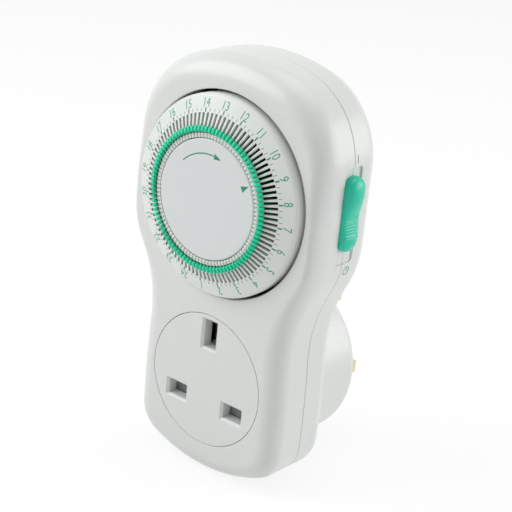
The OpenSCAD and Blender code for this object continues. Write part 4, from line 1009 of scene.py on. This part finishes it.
# ---- Floor, light and camera ----

FLOOR_HALF, FLOOR_GAP, FLOOR_WHITE, FLOOR_GLOW, FLOOR_SHARE = 8, 0.0001, (240, 240, 240), 1.05, 0.8
WORLD_FILL, WORLD_SEEN = 0.4, 1.0


def seen(tree):
    """1 where the camera, a reflection or a clear material looks, and 0 for light that falls on a piece."""
    path = tree.nodes.new("ShaderNodeLightPath")
    total = path.outputs["Is Camera Ray"]
    for ray in ("Is Glossy Ray", "Is Transmission Ray"):
        add = tree.nodes.new("ShaderNodeMath")
        add.operation, add.use_clamp = "ADD", True
        tree.links.new(total, add.inputs[0])
        tree.links.new(path.outputs[ray], add.inputs[1])
        total = add.outputs[0]
    return total


def floor_material():
    """White to the camera and in reflections, with the object's shadow kept."""
    mat = bpy.data.materials.new("floor_white")
    mat.use_nodes = True
    tree = mat.node_tree
    tree.nodes.clear()
    out = tree.nodes.new("ShaderNodeOutputMaterial")
    matt = tree.nodes.new("ShaderNodeBsdfDiffuse")
    matt.inputs["Color"].default_value = srgb(*FLOOR_WHITE)
    glow = tree.nodes.new("ShaderNodeEmission")
    glow.inputs["Strength"].default_value = FLOOR_GLOW
    share = tree.nodes.new("ShaderNodeMath")
    share.operation = "MULTIPLY"
    share.inputs[1].default_value = FLOOR_SHARE
    mix = tree.nodes.new("ShaderNodeMixShader")
    tree.links.new(seen(tree), share.inputs[0])
    tree.links.new(share.outputs[0], mix.inputs[0])
    tree.links.new(matt.outputs[0], mix.inputs[1])
    tree.links.new(glow.outputs[0], mix.inputs[2])
    tree.links.new(mix.outputs[0], out.inputs[0])
    return mat


floor_mesh = bpy.data.meshes.new("floor")
low = -BASE_DROP * MM - FLOOR_GAP
corners = [(x * FLOOR_HALF, y * FLOOR_HALF, low) for x, y in ((-1, -1), (1, -1), (1, 1), (-1, 1))]
floor_mesh.from_pydata(corners, [], [[0, 1, 2, 3]])
floor = link("floor", floor_mesh)
floor.data.materials.append(floor_material())

world = bpy.data.worlds.new("studio")
bpy.context.scene.world = world
world.use_nodes = True
tree = world.node_tree
background = tree.nodes["Background"]
background.inputs["Color"].default_value = (1, 1, 1, 1)
level = tree.nodes.new("ShaderNodeMapRange")
level.inputs["To Min"].default_value = WORLD_FILL
level.inputs["To Max"].default_value = WORLD_SEEN
tree.links.new(seen(tree), level.inputs["Value"])
tree.links.new(level.outputs["Result"], background.inputs["Strength"])

MIDDLE = (0, -0.02, 0.042)


def lamp(name, place, size, power):
    """A round lamp that looks at the housing's middle; metres and watts."""
    light = bpy.data.lights.new(name, "AREA")
    light.shape, light.size, light.energy = "DISK", size, power
    obj = link(name, light)
    obj.location = place
    obj.rotation_euler = (Vector(MIDDLE) - Vector(place)).to_track_quat("-Z", "Y").to_euler()


lamp("key_left", (-0.45, -0.45, 0.45), size=0.6, power=3.0)
lamp("side_right", (0.8, 0.65, 0.3), size=0.9, power=5.6)
lamp("top", (0.0, 0.15, 1.05), size=0.9, power=2.9)

# The photograph's view, solved from the housing's and the dial's measured points
AZIMUTH, ELEVATION, ROLL = math.radians(38.132), math.radians(20.396), math.radians(5.760)
PLACE = Vector((252.192, -344.931, 195.223)) * MM
FOCAL_LENGTH, SENSOR_W, CLIP = 100.903, 36.0, (0.01, 30.0)
back = Vector((math.sin(AZIMUTH) * math.cos(ELEVATION), -math.cos(AZIMUTH) * math.cos(ELEVATION),
               math.sin(ELEVATION)))
level_right = Vector((math.cos(AZIMUTH), math.sin(AZIMUTH), 0))
level_up = back.cross(level_right)
right = math.cos(ROLL) * level_right + math.sin(ROLL) * level_up
up = -math.sin(ROLL) * level_right + math.cos(ROLL) * level_up
lens = bpy.data.cameras.new("camera")
lens.lens, lens.sensor_width = FOCAL_LENGTH, SENSOR_W
lens.clip_start, lens.clip_end = CLIP
camera = link("camera", lens)
camera.matrix_world = Matrix.Translation(PLACE) @ Matrix((right, up, back)).transposed().to_4x4()
bpy.context.scene.camera = camera
bpy.context.scene.view_settings.view_transform = "Standard"
